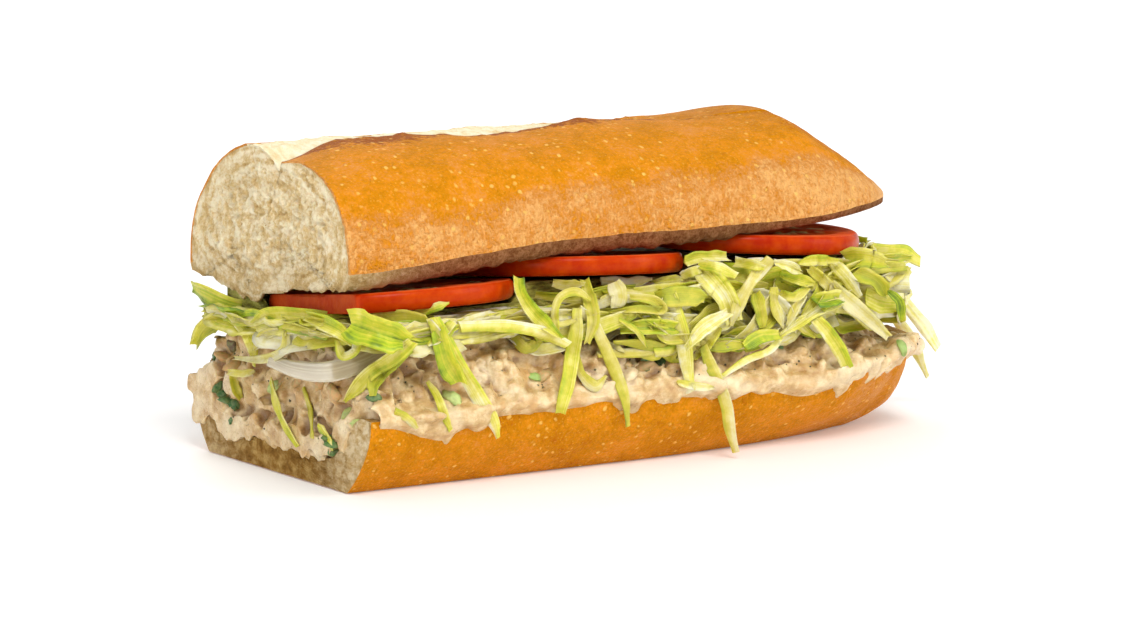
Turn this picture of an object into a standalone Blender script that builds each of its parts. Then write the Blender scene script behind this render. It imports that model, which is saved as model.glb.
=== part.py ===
"""Half of a submarine sandwich: a split roll with seafood salad, onion, shredded lettuce and tomato.

The frame is in metres with +Z up. X runs along the roll from the cut end (-X) to the rounded end (+X),
-Y is the open front side, and the origin lies on the flat underside of the lower half.
"""

import math
import random

import bmesh
import bpy
from mathutils import Vector, noise
from mathutils.bvhtree import BVHTree

SEED = 7
GAP = 0.0004  # clearance between neighbouring pieces

# Lower half of the roll: a shallow boat with an open cut end
CUT_X = -0.075
LOWER_END_X = 0.0755
LOWER_HALF_WIDTH = 0.0380
BACK_SHARE = 0.93  # the back wall and filling stand this much closer than the front ones
FOOT_HALF_WIDTH = 0.0285
RIM_HEIGHT = 0.0155
RIM_RISE_AT_END = 0.0030
FLOOR_THICKNESS = 0.0058
RIM_THICKNESS = 0.0030
TOE_LIFT = 0.0080

# Upper half of the roll: a dome with a split along its top
UPPER_END_X = 0.0730
NOSE_START_X = 0.0430  # the crown falls from here to the rounded end
NOSE_POWER = 1.18
UPPER_HALF_WIDTH = 0.0330
UPPER_CENTRE_Y = 0.0028
CROWN_HEIGHT = 0.0667
CROWN_SWELL = 0.0013
DOME_POWER = 2.15
EAR_OFFSET = -0.0062
EAR_STEP = 0.0013
SPLIT_BACK = 0.0085
SPLIT_END_X = 0.0260
UPPER_HOLLOW = 0.0016
TILT = -0.070  # the upper layers are higher at the front, this much per metre of Y

# Filling heights, at the front edge of the layers
FRONT_Y = -0.030
SALAD_TOP = 0.0283
SALAD_HALF_WIDTH = 0.0372
SALAD_LEAN = 0.0076
SALAD_END_FALL = 0.0062
SALAD_END_X = 0.0680
LETTUCE_HALF_WIDTH = 0.0272
LETTUCE_SWELL = 0.0040  # the heap is this much wider towards the rounded end
LETTUCE_END_X = 0.0620
FRONT_COUNT = 16
BACK_COUNT = 10
END_COUNT = 10
SHRED_THICKNESS = 0.0009
SHRED_CLEARANCE = 0.0011
TOMATO_RADIUS = 0.0252
TOMATO_THICKNESS = 0.0039
ONION_THICKNESS = 0.0013

# Centre x, centre y, underside at the front rim, rise per metre of X and of Y
TOMATOES = {
    "tomato_1": (-0.0540, -0.0095, 0.0357, 0.006, -0.115),
    "tomato_2": (-0.0105, -0.0085, 0.0390, -0.045, -0.100),
    "tomato_3": (0.0345, -0.0080, 0.0399, -0.062, -0.010),
}

# Onion strips on the front of the salad: width, then (x, z) along the strip
ONIONS = {
    "onion_1": (0.0042, ((-0.0735, 0.0262), (-0.0680, 0.0248), (-0.0610, 0.0250), (-0.0545, 0.0272))),
    "onion_2": (0.0046, ((-0.0180, 0.0248), (-0.0130, 0.0278), (-0.0075, 0.0280), (-0.0015, 0.0252))),
}

# Long shreds that hang over the front: width, then (x, z) along the shred
FRONT_SHREDS = (
    (0.0048, ((-0.066, 0.034), (-0.0615, 0.0287), (-0.0558, 0.0242), (-0.0512, 0.0178), (-0.0465, 0.0097))),
    (0.0042, ((-0.0287, 0.034), (-0.0299, 0.026), (-0.0306, 0.0190), (-0.0306, 0.0125))),
    (0.0050, ((-0.0263, 0.0345), (-0.0215, 0.0263), (-0.0167, 0.0167), (-0.0137, 0.0087))),
    (0.0044, ((-0.0057, 0.0350), (-0.0032, 0.0279), (-0.0010, 0.0200), (0.0006, 0.0131))),
    (0.0040, ((0.0000, 0.0330), (0.0016, 0.0236), (0.0046, 0.0172), (0.0072, 0.0110), (0.0092, 0.0050))),
    (0.0052, ((0.020, 0.0340), (0.027, 0.0290), (0.036, 0.0262), (0.044, 0.0268))),
    (0.0046, ((0.050, 0.0335), (0.047, 0.0270), (0.041, 0.0225), (0.036, 0.0205))),
)

# Shreds that stand out past the rounded end: y, width, then (x, z) along the shred
END_SHREDS = (
    (-0.010, 0.0046, ((0.056, 0.0340), (0.066, 0.0352), (0.074, 0.0345), (0.0813, 0.0317))),
    (-0.012, 0.0042, ((0.056, 0.0310), (0.070, 0.0270), (0.078, 0.0200), (0.0844, 0.0128))),
    (-0.006, 0.0036, ((0.056, 0.0290), (0.071, 0.0255), (0.0815, 0.0150), (0.0868, 0.0059))),
)

# Shreds that stand out of the bed at the cut end: their tips, then width and (x, y, z) along each
CUT_TIP = (-0.0765, 0.0316, 0.0345)
CUT_TIP_LOW = (-0.0768, 0.0297, 0.0225)
CUT_TIP_NEAR = (-0.0772, 0.0050, 0.0300)
CUT_SHREDS = (
    (0.0042, ((-0.0690, 0.010, 0.0305), (-0.0745, 0.019, 0.0318), (-0.0765, 0.0265, 0.0335), CUT_TIP)),
    (0.0040, ((-0.0690, 0.008, 0.0290), (-0.0750, 0.018, 0.0290), (-0.0768, 0.0250, 0.0265), CUT_TIP_LOW)),
    (0.0044, ((-0.0680, -0.020, 0.0315), (-0.0745, -0.012, 0.0330), (-0.0770, -0.003, 0.0322), CUT_TIP_NEAR)),
)


def smoothstep(low, high, value):
    """0 below low, 1 above high, and a smooth rise between them."""
    t = min(1.0, max(0.0, (value - low) / (high - low)))
    return t * t * (3.0 - 2.0 * t)


def taper(x, start, end, power):
    """1 up to start, then a rounded fall to 0 at end."""
    t = min(1.0, max(0.0, (x - start) / (end - start)))
    return max(0.0, 1.0 - t**power) ** (1.0 / power)


def relief(point, size, seed=0.0, octaves=2):
    """Smooth noise from about -1 to 1, with bumps of the given size."""
    shifted = Vector(point) / size + Vector((seed, seed * 1.7, seed * 2.3))
    return noise.fractal(shifted, 1.0, 2.0, octaves)


def spread(start, end, count, tail=0.0):
    """Values from start to end, crowded towards the end by tail (0 is even)."""
    values = []
    for i in range(count):
        t = i / (count - 1)
        eased = math.sin(t * math.pi / 2)
        values.append(start + (end - start) * ((1 - tail) * t + tail * eased))
    return values


def make_object(name, mesh, colour, roughness):
    """Links a mesh as a named object with its own material."""
    obj = bpy.data.objects.new(name, mesh)
    bpy.context.scene.collection.objects.link(obj)
    material = bpy.data.materials.new(name)
    material.use_nodes = True
    shader = material.node_tree.nodes["Principled BSDF"]
    shader.inputs["Base Color"].default_value = (*colour, 1.0)
    shader.inputs["Roughness"].default_value = roughness
    shader.inputs["Metallic"].default_value = 0.0
    material.diffuse_color = (*colour, 1.0)
    mesh.materials.append(material)
    return obj


def loft(name, loops):
    """A closed mesh through equal loops of points, with a flat cap at each end."""
    bm = bmesh.new()
    rings = [[bm.verts.new(p) for p in loop] for loop in loops]
    count = len(rings[0])
    for ring, following in zip(rings, rings[1:]):
        for i in range(count):
            j = (i + 1) % count
            bm.faces.new((ring[i], ring[j], following[j], following[i]))
    bm.faces.new(list(reversed(rings[0])))
    bm.faces.new(rings[-1])
    bmesh.ops.triangulate(bm, faces=[f for f in bm.faces if len(f.verts) > 4])
    bmesh.ops.recalc_face_normals(bm, faces=bm.faces)
    mesh = bpy.data.meshes.new(name)
    bm.to_mesh(mesh)
    bm.free()
    mesh.shade_smooth()
    mesh.set_sharp_from_angle(angle=math.radians(40))
    return mesh


def lower_outline(x):
    """Half width at the rim, half width of the foot, rim height and underside height at x."""
    width = LOWER_HALF_WIDTH * taper(x, 0.030, LOWER_END_X, 2.4)
    foot_share = 0.52 + 0.22 * smoothstep(0.055, 0.070, x)
    foot = max(FOOT_HALF_WIDTH * taper(x, -0.010, 0.0710, 2.0), foot_share * width)
    rim = RIM_HEIGHT + RIM_RISE_AT_END * smoothstep(0.030, 0.070, x)
    lift = TOE_LIFT * smoothstep(0.054, LOWER_END_X, x)
    return width, foot, rim, lift


def lower_loop(x):
    """Section of the lower half: up the front wall, over the trough, down the back wall."""
    width, foot, rim, lift = lower_outline(x)
    width = max(width, 0.0045)
    foot = min(foot, 0.75 * width)
    side_steps, trough_steps, foot_steps = 5, 7, 2
    walls = []
    for side, reach in ((-1, width), (1, BACK_SHARE * width)):
        wall = []
        for i in range(side_steps + 1):
            angle = math.pi / 2 * i / side_steps
            y = foot + (reach - foot) * math.sin(angle) ** 2
            z = lift + (rim - lift) * (1 - math.cos(angle))
            swell = 0.0004 * relief((x, y, z), 0.012, 3.0) * min(1.0, z / 0.004)
            wall.append((side * (y + swell), z))
        walls.append(wall)
    thickness = min(RIM_THICKNESS, 0.3 * width)
    closed = smoothstep(0.056, 0.0715, x)
    floor = lift + FLOOR_THICKNESS + (rim - lift - FLOOR_THICKNESS) * closed
    trough = []
    for i in range(trough_steps + 1):
        across = 2 * i / trough_steps - 1
        y = across * ((width if across < 0 else BACK_SHARE * width) - thickness)
        z = floor + (rim + 0.0003 - floor) * smoothstep(0.60, 1.0, abs(across))
        trough.append((y, z))
    under = [(foot * (1 - 2 * i / foot_steps), lift) for i in range(1, foot_steps)]
    section = walls[0] + trough + walls[1][::-1] + under
    return [Vector((x, y, z)) for y, z in section]


def lower_roll():
    """Mesh of the lower half of the roll."""
    stations = spread(CUT_X, LOWER_END_X - 0.0008, 26, tail=0.75)
    return loft("bread_bottom", [lower_loop(x) for x in stations])


def upper_base(x, across):
    """Height of the cut underside of the upper half; across is 0 at the front and 1 at the back."""
    front = 0.0420 + 0.0038 * smoothstep(CUT_X, -0.020, x) + 0.0016 * smoothstep(0.032, 0.066, x)
    fall = 0.0046 * (1 - 0.8 * smoothstep(-0.030, 0.050, x))
    return front - fall * across


def torn_flap(x, y):
    """How far the torn crumb hangs below the underside at the cut end."""
    near_cut = 1 - smoothstep(CUT_X + 0.0012, CUT_X + 0.0024, x)
    centre = math.exp(-(((y - 0.008) / 0.0155) ** 2))
    ragged = 0.0012 * relief((0.0, y, 0.0), 0.006, 9.0)
    return near_cut * (0.0052 * centre + ragged * (0.3 + centre))


def ear_line(x):
    """Offset from the centre line and extra height of the ragged ear beside the split."""
    wander = 0.0012 * math.sin(x / 0.0105 + 0.6) + 0.0006 * math.sin(x / 0.0042)
    peak = 0.0013 * math.exp(-(((x + 0.004) / 0.007) ** 2))
    dip = -0.0011 * math.exp(-(((x + 0.030) / 0.011) ** 2))
    sunk_at_cut = -0.0042 * (1 - smoothstep(CUT_X, CUT_X + 0.014, x))
    return EAR_OFFSET + wander, peak + dip + sunk_at_cut


def upper_loop(x):
    """Section of the upper half: front crust, split, back crust, then the cut underside."""
    half = max(0.0040, UPPER_HALF_WIDTH * taper(x, 0.024, UPPER_END_X, 2.3))
    scale = half / UPPER_HALF_WIDTH
    dome = max(0.08, taper(x, NOSE_START_X, UPPER_END_X + 0.0003, NOSE_POWER))
    crown = CROWN_HEIGHT + CROWN_SWELL * math.exp(-(((x - 0.042) / 0.011) ** 2))
    offset, extra = ear_line(x)
    offset *= scale
    open_split = 1 - smoothstep(SPLIT_END_X - 0.012, SPLIT_END_X, x)
    front_steps, split_steps, back_steps, under_steps = 11, 4, 8, 7

    def height(dy):
        across = (dy + half) / (2 * half)
        base = upper_base(x, across)
        rise = crown - upper_base(x, 0.6)
        arch = max(0.0, 1 - abs(dy / half) ** DOME_POWER) ** (1 / DOME_POWER)
        edge = min(0.0015, 0.1 * rise)
        return base + edge + (rise * dome - edge) * arch

    points = []
    for i in range(front_steps + 1):
        share = i / front_steps
        angle = math.acos(min(1.0, abs(offset) / half)) * share
        dy = -half * math.cos(angle)
        z = height(dy) + extra * share**3 * dome
        swell = 0.0005 * relief((x, dy, z), 0.016, 5.0)
        points.append((dy * (1 + swell / half), z + swell))
    back = SPLIT_BACK * scale
    for i in range(split_steps + 1):
        share = i / split_steps
        dy = offset + 0.0009 * scale + (back - offset - 0.0009 * scale) * share
        valley = EAR_STEP * open_split * (1 - share) ** 0.7
        z = height(dy) + extra * (1 - share) ** 2 * dome - valley
        points.append((dy, z + 0.0004 * relief((x, dy, 0.0), 0.007, 6.0) * open_split))
    for i in range(1, back_steps + 1):
        angle = math.acos(min(1.0, back / half)) * (1 - i / back_steps)
        dy = half * math.cos(angle)
        z = height(dy)
        swell = 0.0005 * relief((x, dy, z), 0.016, 5.0)
        points.append((dy * (1 + swell / half), z + swell))
    inset = 0.0009 * scale
    for i in range(under_steps + 1):
        dy = (half - inset) * (1 - 2 * i / under_steps)
        across = (dy + half) / (2 * half)
        crumb = 0.0005 * relief((x, dy, 0.0), 0.010, 8.0) * min(1.0, 4 * across * (1 - across))
        y = UPPER_CENTRE_Y + dy
        hollow = UPPER_HOLLOW * scale * smoothstep(CUT_X + 0.0024, CUT_X + 0.0060, x)
        hollow *= smoothstep(0.0, 0.10, across) * smoothstep(0.0, 0.10, 1 - across)
        points.append((dy, upper_base(x, across) + crumb + hollow - torn_flap(x, y)))
    return [Vector((x, UPPER_CENTRE_Y + dy, z)) for dy, z in points]


def upper_roll():
    """Mesh of the upper half of the roll."""
    torn = [CUT_X, CUT_X + 0.0013, CUT_X + 0.0025]
    rest = spread(CUT_X + 0.0060, UPPER_END_X - 0.0006, 28, tail=0.70)
    return loft("bread_top", [upper_loop(x) for x in torn + rest])


def salad_top(x, y):
    """Height of the salad's top, lower towards the back and towards the rounded end."""
    fall = SALAD_END_FALL * smoothstep(0.026, 0.064, x)
    return SALAD_TOP - fall + TILT * (y - FRONT_Y)


def salad_drip(x):
    """How far the salad hangs below the rim: most in a lump near each end."""
    lumps = 0.0036 * math.exp(-(((x + 0.059) / 0.007) ** 2))
    lumps += 0.0026 * math.exp(-(((x - 0.034) / 0.013) ** 2))
    return 0.0006 + lumps + 0.0010 * relief((x, 0.0, 0.0), 0.009, 12.0)


def salad_loop(x):
    """Section of the salad before the roll is cut from it."""
    half = SALAD_HALF_WIDTH * taper(x, 0.026, SALAD_END_X, 2.3) + 0.0006
    rim = lower_outline(min(x, SALAD_END_X))[2]
    drip = rim - salad_drip(x)
    side_steps, top_steps = 8, 7
    points = []
    for sign, reach in ((-1, half), (1, BACK_SHARE * half)):
        side = []
        for i in range(side_steps + 1):
            share = i / side_steps
            top = salad_top(x, sign * 0.75 * half)
            z = drip + (top - 0.0015 - drip) * share
            bulge = 0.0016 * math.sin(math.pi * min(1.0, share * 1.5 + 0.3))
            y = reach + bulge - SALAD_LEAN * share**1.3
            lump = 0.0013 * relief((x, sign * y, z), 0.0085, 14.0, 3)
            side.append((sign * (y + lump), z))
        if sign < 0:
            points += side
            for i in range(1, top_steps):
                y = -0.86 * half + 1.72 * half * i / top_steps
                z = salad_top(x, y) + 0.0008 * relief((x, y, 0.0), 0.009, 15.0)
                points.append((y, z))
        else:
            points += list(reversed(side))
    inner = 0.70 * half
    floor = lower_outline(min(x, SALAD_END_X))[3] + 0.5 * FLOOR_THICKNESS
    for i in range(4):
        points.append((inner * (1 - 2 * i / 3), floor))
    return [Vector((x, y, z)) for y, z in points]


def salad_core():
    """Lumpy body of the salad, whose cut end is a little uneven."""
    loops = [salad_loop(x) for x in spread(CUT_X, SALAD_END_X - 0.001, 36, tail=0.35)]
    for p in loops[0]:
        p.x += 0.0008 * relief((0.0, p.y, p.z), 0.007, 16.0)
    return loft("tuna_salad", loops)


def inflated(source, name, amount):
    """A hidden copy of an object, pushed out along its normals, to cut clearance from a neighbour."""
    mesh = source.data.copy()
    bm = bmesh.new()
    bm.from_mesh(mesh)
    bm.normal_update()
    moves = [v.normal * amount * min(2.0, v.calc_shell_factor()) for v in bm.verts]
    for vert, move in zip(bm.verts, moves):
        vert.co += move
    bm.to_mesh(mesh)
    bm.free()
    cutter = bpy.data.objects.new(name, mesh)
    bpy.context.scene.collection.objects.link(cutter)
    cutter.hide_render = True
    cutter.display_type = "WIRE"
    return cutter


def applied(obj):
    """Replaces the object's mesh by its evaluated one, without modifiers."""
    bpy.context.view_layer.update()
    graph = bpy.context.evaluated_depsgraph_get()
    mesh = bpy.data.meshes.new_from_object(obj.evaluated_get(graph))
    obj.modifiers.clear()
    obj.data = mesh
    return obj


def component_faces(bm):
    """Faces of each connected shell."""
    left = set(bm.faces)
    shells = []
    while left:
        stack = [left.pop()]
        shell = []
        while stack:
            face = stack.pop()
            shell.append(face)
            for edge in face.edges:
                for other in edge.link_faces:
                    if other in left:
                        left.remove(other)
                        stack.append(other)
        shells.append(shell)
    return shells


def signed_volume(faces):
    """Volume that a shell of faces encloses."""
    total = 0.0
    for face in faces:
        origin = face.verts[0].co
        for first, second in zip(face.verts[1:], face.verts[2:]):
            total += origin.dot(first.co.cross(second.co)) / 6
    return total


def keep_largest(obj):
    """Drops loose scraps and sealed hollows."""
    bm = bmesh.new()
    bm.from_mesh(obj.data)
    shells = sorted(component_faces(bm), key=signed_volume)
    scraps = [f for shell in shells[:-1] for f in shell]
    bmesh.ops.delete(bm, geom=scraps, context="FACES")
    loose = [v for v in bm.verts if not v.link_faces]
    bmesh.ops.delete(bm, geom=loose, context="VERTS")
    bmesh.ops.triangulate(bm, faces=bm.faces)
    bm.to_mesh(obj.data)
    bm.free()


def cut_from(obj, cutters, solver="EXACT"):
    """Subtracts each hidden cutter from the object."""
    for cutter in cutters:
        modifier = obj.modifiers.new(f"clear_{cutter.name}", "BOOLEAN")
        modifier.operation = "DIFFERENCE"
        modifier.solver = solver
        modifier.object = cutter
    applied(obj)
    keep_largest(obj)


def joined(obj, meshes, solver="EXACT"):
    """Fuses the meshes into the object with one Boolean union on a collection."""
    collection = bpy.data.collections.new("to_join")
    bpy.context.scene.collection.children.link(collection)
    for i, mesh in enumerate(meshes):
        collection.objects.link(bpy.data.objects.new(f"join_{i}", mesh))
    modifier = obj.modifiers.new("join", "BOOLEAN")
    modifier.operation = "UNION"
    modifier.operand_type = "COLLECTION"
    modifier.solver = solver
    modifier.collection = collection
    applied(obj)
    for helper in list(collection.objects):
        bpy.data.objects.remove(helper)
    bpy.data.collections.remove(collection)
    keep_largest(obj)


def tomato_slice(name):
    """A disc that leans with the layers; the first is cut with the roll."""
    centre_x, centre_y, underside, slope, tilt = TOMATOES[name]
    sides, edge = 34, 0.0009
    rings = []
    for inset, height in ((edge, 0.0), (0.0, edge), (0.0, TOMATO_THICKNESS - edge), (edge, TOMATO_THICKNESS)):
        ring = []
        for i in range(sides):
            angle = 2 * math.pi * i / sides
            wobble = 1 + 0.022 * math.cos(3 * angle + centre_x * 90) + 0.012 * math.cos(5 * angle)
            reach = (TOMATO_RADIUS - inset) * wobble
            x = max(centre_x + reach * math.cos(angle), CUT_X + 0.0030 + 0.3 * inset)
            y = centre_y + reach * math.sin(angle)
            z = underside + slope * (x - centre_x) + tilt * (y - FRONT_Y) + height
            ring.append(Vector((x, y, z)))
        rings.append(ring)
    return loft(name, rings)


def surface_tree(objects):
    """One ray-casting tree over the surfaces of all the objects."""
    points, faces = [], []
    for obj in objects:
        first = len(points)
        points += [v.co.copy() for v in obj.data.vertices]
        faces += [[first + i for i in polygon.vertices] for polygon in obj.data.polygons]
    return BVHTree.FromPolygons(points, faces)


def pushed_out(tree, point, outward, reach, clearance):
    """The point, moved outward until a patch of the given reach about it clears the surfaces."""
    across = outward.cross(Vector((0, 0, 1))).normalized() * reach
    upward = Vector((0, 0, reach))
    depth = point.dot(outward)
    for a in (-1, 0, 1):
        for b in (-1, 0, 1):
            start = point + across * a + upward * b + outward * (0.12 - point.dot(outward))
            hit = tree.ray_cast(start, -outward, 0.12)[0]
            if hit is not None:
                depth = max(depth, hit.dot(outward) + clearance)
    return point + outward * (depth - point.dot(outward))


def draped(tree, points, outward, width, clearance):
    """A path laid over the surfaces, that hangs on once it is past the widest of them."""
    path = []
    for point in points:
        laid = pushed_out(tree, Vector(point), outward, 0.5 * width, clearance)
        if path:
            back_in = path[-1].dot(outward) - 0.0012
            laid += outward * max(0.0, back_in - laid.dot(outward))
        path.append(laid)
    return path


def between(points, count):
    """The given number of points along a smooth curve through the given ones."""
    ends = [points[0] * 2 - points[1], *points, points[-1] * 2 - points[-2]]
    spans = len(points) - 1
    result = []
    for i in range(count):
        place = min(spans - 1e-6, spans * i / (count - 1))
        k = int(place)
        t = place - k
        a, b, c, d = ends[k : k + 4]
        bend = (2 * a - 5 * b + 4 * c - d) * t * t + (3 * b - a - 3 * c + d) * t**3
        result.append(0.5 * (2 * b + (c - a) * t + bend))
    return result


def strip(name, path, outward, width, thickness, twist=0.0):
    """A flat strip along a path, with its broad side facing outward."""
    loops = []
    last = len(path) - 1
    alongs = [(path[min(i + 1, last)] - path[max(i - 1, 0)]).normalized() for i in range(last + 1)]
    sides = [along.cross(outward).normalized() for along in alongs]
    sides[0] = sides[1]
    for i, (point, along, side) in enumerate(zip(path, alongs, sides)):
        normal = side.cross(along).normalized()
        angle = twist * i / last
        broad = side * math.cos(angle) + normal * math.sin(angle)
        thin = normal * math.cos(angle) - side * math.sin(angle)
        end = 0.62 if i in (0, last) else 1.0
        a = broad * (0.5 * width * end)
        b = thin * (0.5 * thickness)
        loops.append([point - a - b, point + a - b, point + a + b, point - a + b])
    return loft(name, loops)


def onion_strip(name, tree):
    """A pale strip of onion on the front of the salad."""
    width, places = ONIONS[name]
    outward = Vector((0, -1, 0))
    points = between([Vector((x, -0.030, z)) for x, z in places], 10)
    path = draped(tree, points, outward, width, GAP + 0.5 * ONION_THICKNESS + 0.0003)
    return strip(name, path, outward, width, ONION_THICKNESS)


def lettuce_top(x, y):
    """Height of the lettuce bed: up to the tomatoes, and to the roll between them."""
    across = min(1.0, max(0.0, (y - UPPER_CENTRE_Y + UPPER_HALF_WIDTH) / (2 * UPPER_HALF_WIDTH)))
    top = upper_base(x, across) - 0.0004
    for centre_x, centre_y, underside, slope, tilt in TOMATOES.values():
        away = math.hypot(x - centre_x, y - centre_y)
        under = underside + slope * (x - centre_x) + tilt * (y - FRONT_Y) - GAP
        inside = 1 - smoothstep(TOMATO_RADIUS, TOMATO_RADIUS + 0.004, away)
        top = min(top, top + (under - top) * inside)
    return top


def lettuce_half_width(x):
    """Half width of the bed, which swells where the heap is loose."""
    swell = LETTUCE_SWELL * smoothstep(-0.030, 0.010, x)
    return max(0.006, (LETTUCE_HALF_WIDTH + swell) * taper(x, 0.030, LETTUCE_END_X + 0.001, 2.2))


def lettuce_bed():
    """Mesh of the bed in the middle of the lettuce."""
    loops = []
    steps = 8
    for x in spread(CUT_X + 0.0008, LETTUCE_END_X, 22, tail=0.2):
        half = lettuce_half_width(x)
        lower, upper = [], []
        for i in range(steps + 1):
            y = half * (2 * i / steps - 1)
            bump = 0.0006 * relief((x, y, 0.0), 0.009, 21.0)
            lower.append(Vector((x, y, salad_top(x, y) + 0.0002)))
            upper.append(Vector((x, y, max(salad_top(x, y) + 0.003, lettuce_top(x, y)) + bump - 0.0006)))
        loops.append(lower + list(reversed(upper)))
    return loft("lettuce", loops)


def lies_flat(path, width):
    """Whether a strip of this width can follow the path without folding over itself."""
    steps = [b - a for a, b in zip(path, path[1:])]
    for before, after in zip(steps, steps[1:]):
        turn = before.angle(after, 0.0)
        if 0.6 * width * math.tan(0.5 * turn) > 0.5 * min(before.length, after.length):
            return False
    return True


def short_shred(tree, rng, edge, outward):
    """One seeded shred at the edge of the bed, if it lies flat there."""
    along = Vector((-outward.y, outward.x, 0))
    width = rng.uniform(0.0034, 0.0052)
    length = rng.uniform(0.012, 0.026)
    drop = rng.uniform(-0.3, 0.55) * length
    reach = rng.choice((-1, 1)) * math.sqrt(length**2 - drop**2)
    if not CUT_X - 0.0010 < edge.x + along.x * reach < LETTUCE_END_X + 0.012:
        reach = -reach
    end = edge + along * reach
    top = min(lettuce_top(p.x, p.y * f) for p in (edge, end) for f in (0.5, 1.0)) - 0.0020
    low = salad_top(edge.x, edge.y) + 0.0010 - 0.003 * smoothstep(0.02, 0.05, edge.x)
    start_z = rng.uniform(low, top)
    end_z = min(top, start_z - drop)
    bow = rng.uniform(-0.002, 0.003)
    rest = outward * rng.uniform(0.0005, 0.0035)
    places = []
    for i in range(4):
        t = i / 3
        z = min(top, start_z + (end_z - start_z) * t + bow * math.sin(math.pi * t))
        places.append(edge + rest + along * (reach * t) + Vector((0, 0, z)))
    path = draped(tree, between(places, 5), outward, width, SHRED_CLEARANCE)
    if not lies_flat(path, width):
        return None
    root = edge - outward * 0.006 - along * math.copysign(0.002, reach)
    root.z = min(top, max(start_z, salad_top(edge.x, edge.y) + 0.003))
    return strip("shred", [root, *path], outward, width, SHRED_THICKNESS, rng.uniform(-0.5, 0.5))


def long_shreds(tree):
    """The long shreds that hang over the front and stand out past both ends."""
    shreds = []
    front, end = Vector((0, -1, 0)), Vector((1, 0, 0))
    for width, places in FRONT_SHREDS:
        points = between([Vector((x, -0.0305, z)) for x, z in places], 7)
        path = draped(tree, points, front, width, SHRED_CLEARANCE)
        root = Vector((path[0].x, -LETTUCE_HALF_WIDTH + 0.007, path[0].z))
        shreds.append(strip("shred", [root, *path], front, width, SHRED_THICKNESS))
    for y, width, places in END_SHREDS:
        points = between([Vector((x, y, z)) for x, z in places], 7)
        path = [points[0]]
        path += [pushed_out(tree, p, end, 0.5 * width, SHRED_CLEARANCE) for p in points[1:]]
        shreds.append(strip("shred", path, Vector((0.25, 0, 1)), width, SHRED_THICKNESS))
    for width, places in CUT_SHREDS:
        path = between([Vector(place) for place in places], 6)
        shreds.append(strip("shred", path, Vector((-1, 0, 0.4)), width, SHRED_THICKNESS))
    return shreds


def scattered_shreds(tree, rng):
    """Seeded shreds along both long sides and round the end."""
    shreds = []
    for side, count in ((-1, FRONT_COUNT), (1, BACK_COUNT)):
        for i in range(count):
            x = -0.071 + 0.118 * (i + rng.uniform(-0.4, 0.4)) / (count - 1)
            edge = Vector((x, side * lettuce_half_width(x), 0))
            shreds.append(short_shred(tree, rng, edge, Vector((0, side, 0))))
    for i in range(END_COUNT):
        angle = math.radians(-68 + 136 * i / (END_COUNT - 1))
        outward = Vector((math.cos(angle), math.sin(angle), 0))
        edge = Vector((0.032 + 0.031 * outward.x, lettuce_half_width(0.030) * outward.y, 0))
        shreds.append(short_shred(tree, rng, edge, outward))
    return [shred for shred in shreds if shred is not None]


def lettuce(tree, rng):
    """The lettuce: a bed with strips of true size fused on where they show."""
    bed = make_object("lettuce", lettuce_bed(), (0.50, 0.62, 0.18), 0.35)
    joined(bed, long_shreds(tree) + scattered_shreds(tree, rng), "MANIFOLD")
    return bed


def build():
    """Makes every piece of the sandwich."""
    rng = random.Random(SEED)
    for obj in list(bpy.data.objects):
        bpy.data.objects.remove(obj)
    lower = make_object("bread_bottom", lower_roll(), (0.60, 0.28, 0.06), 0.5)
    upper = make_object("bread_top", upper_roll(), (0.62, 0.27, 0.05), 0.45)
    salad = make_object("tuna_salad", salad_core(), (0.66, 0.52, 0.38), 0.4)
    cut_from(salad, [inflated(lower, "lower_clearance", 1.5 * GAP)], "MANIFOLD")
    solids = [lower, upper, salad]
    for name in TOMATOES:
        solids.append(make_object(name, tomato_slice(name), (0.60, 0.04, 0.01), 0.25))
    for name in ONIONS:
        tree = surface_tree(solids)
        solids.append(make_object(name, onion_strip(name, tree), (0.80, 0.78, 0.68), 0.3))
    leaves = lettuce(surface_tree(solids), rng)
    cut_from(leaves, [inflated(solid, f"{solid.name}_clearance", GAP) for solid in solids], "MANIFOLD")


build()
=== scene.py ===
"""Dressed model of half a submarine sandwich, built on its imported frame, in metres.

X runs along the roll from the cut end (-X) to the rounded end (+X), and -Y is the open front side.
"""

import math
import random

import bmesh
import bpy
from mathutils import Matrix, Vector, noise
from mathutils.bvhtree import BVHTree


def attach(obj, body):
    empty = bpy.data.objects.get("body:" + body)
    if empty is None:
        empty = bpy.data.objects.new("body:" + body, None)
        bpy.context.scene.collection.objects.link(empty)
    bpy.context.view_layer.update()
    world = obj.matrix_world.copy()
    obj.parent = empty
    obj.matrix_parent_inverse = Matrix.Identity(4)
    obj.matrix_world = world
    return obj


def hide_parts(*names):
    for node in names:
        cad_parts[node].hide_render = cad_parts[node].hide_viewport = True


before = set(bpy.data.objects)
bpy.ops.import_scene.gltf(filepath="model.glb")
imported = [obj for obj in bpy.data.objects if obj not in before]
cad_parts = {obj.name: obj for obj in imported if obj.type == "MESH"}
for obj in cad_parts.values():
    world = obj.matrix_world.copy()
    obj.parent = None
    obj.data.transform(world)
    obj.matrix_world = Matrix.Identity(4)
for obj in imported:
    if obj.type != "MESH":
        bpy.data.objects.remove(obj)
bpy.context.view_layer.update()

SEED = 7

# Lower half of the roll
CUT_X = -0.075
LOWER_END_X = 0.0755
LOWER_HALF_WIDTH = 0.0380
BACK_SHARE = 0.93  # the back wall and filling stand this much closer than the front ones
FOOT_HALF_WIDTH = 0.0285
RIM_HEIGHT = 0.0155
RIM_RISE_AT_END = 0.0030
FLOOR_THICKNESS = 0.0058
RIM_THICKNESS = 0.0030
TOE_LIFT = 0.0080

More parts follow.
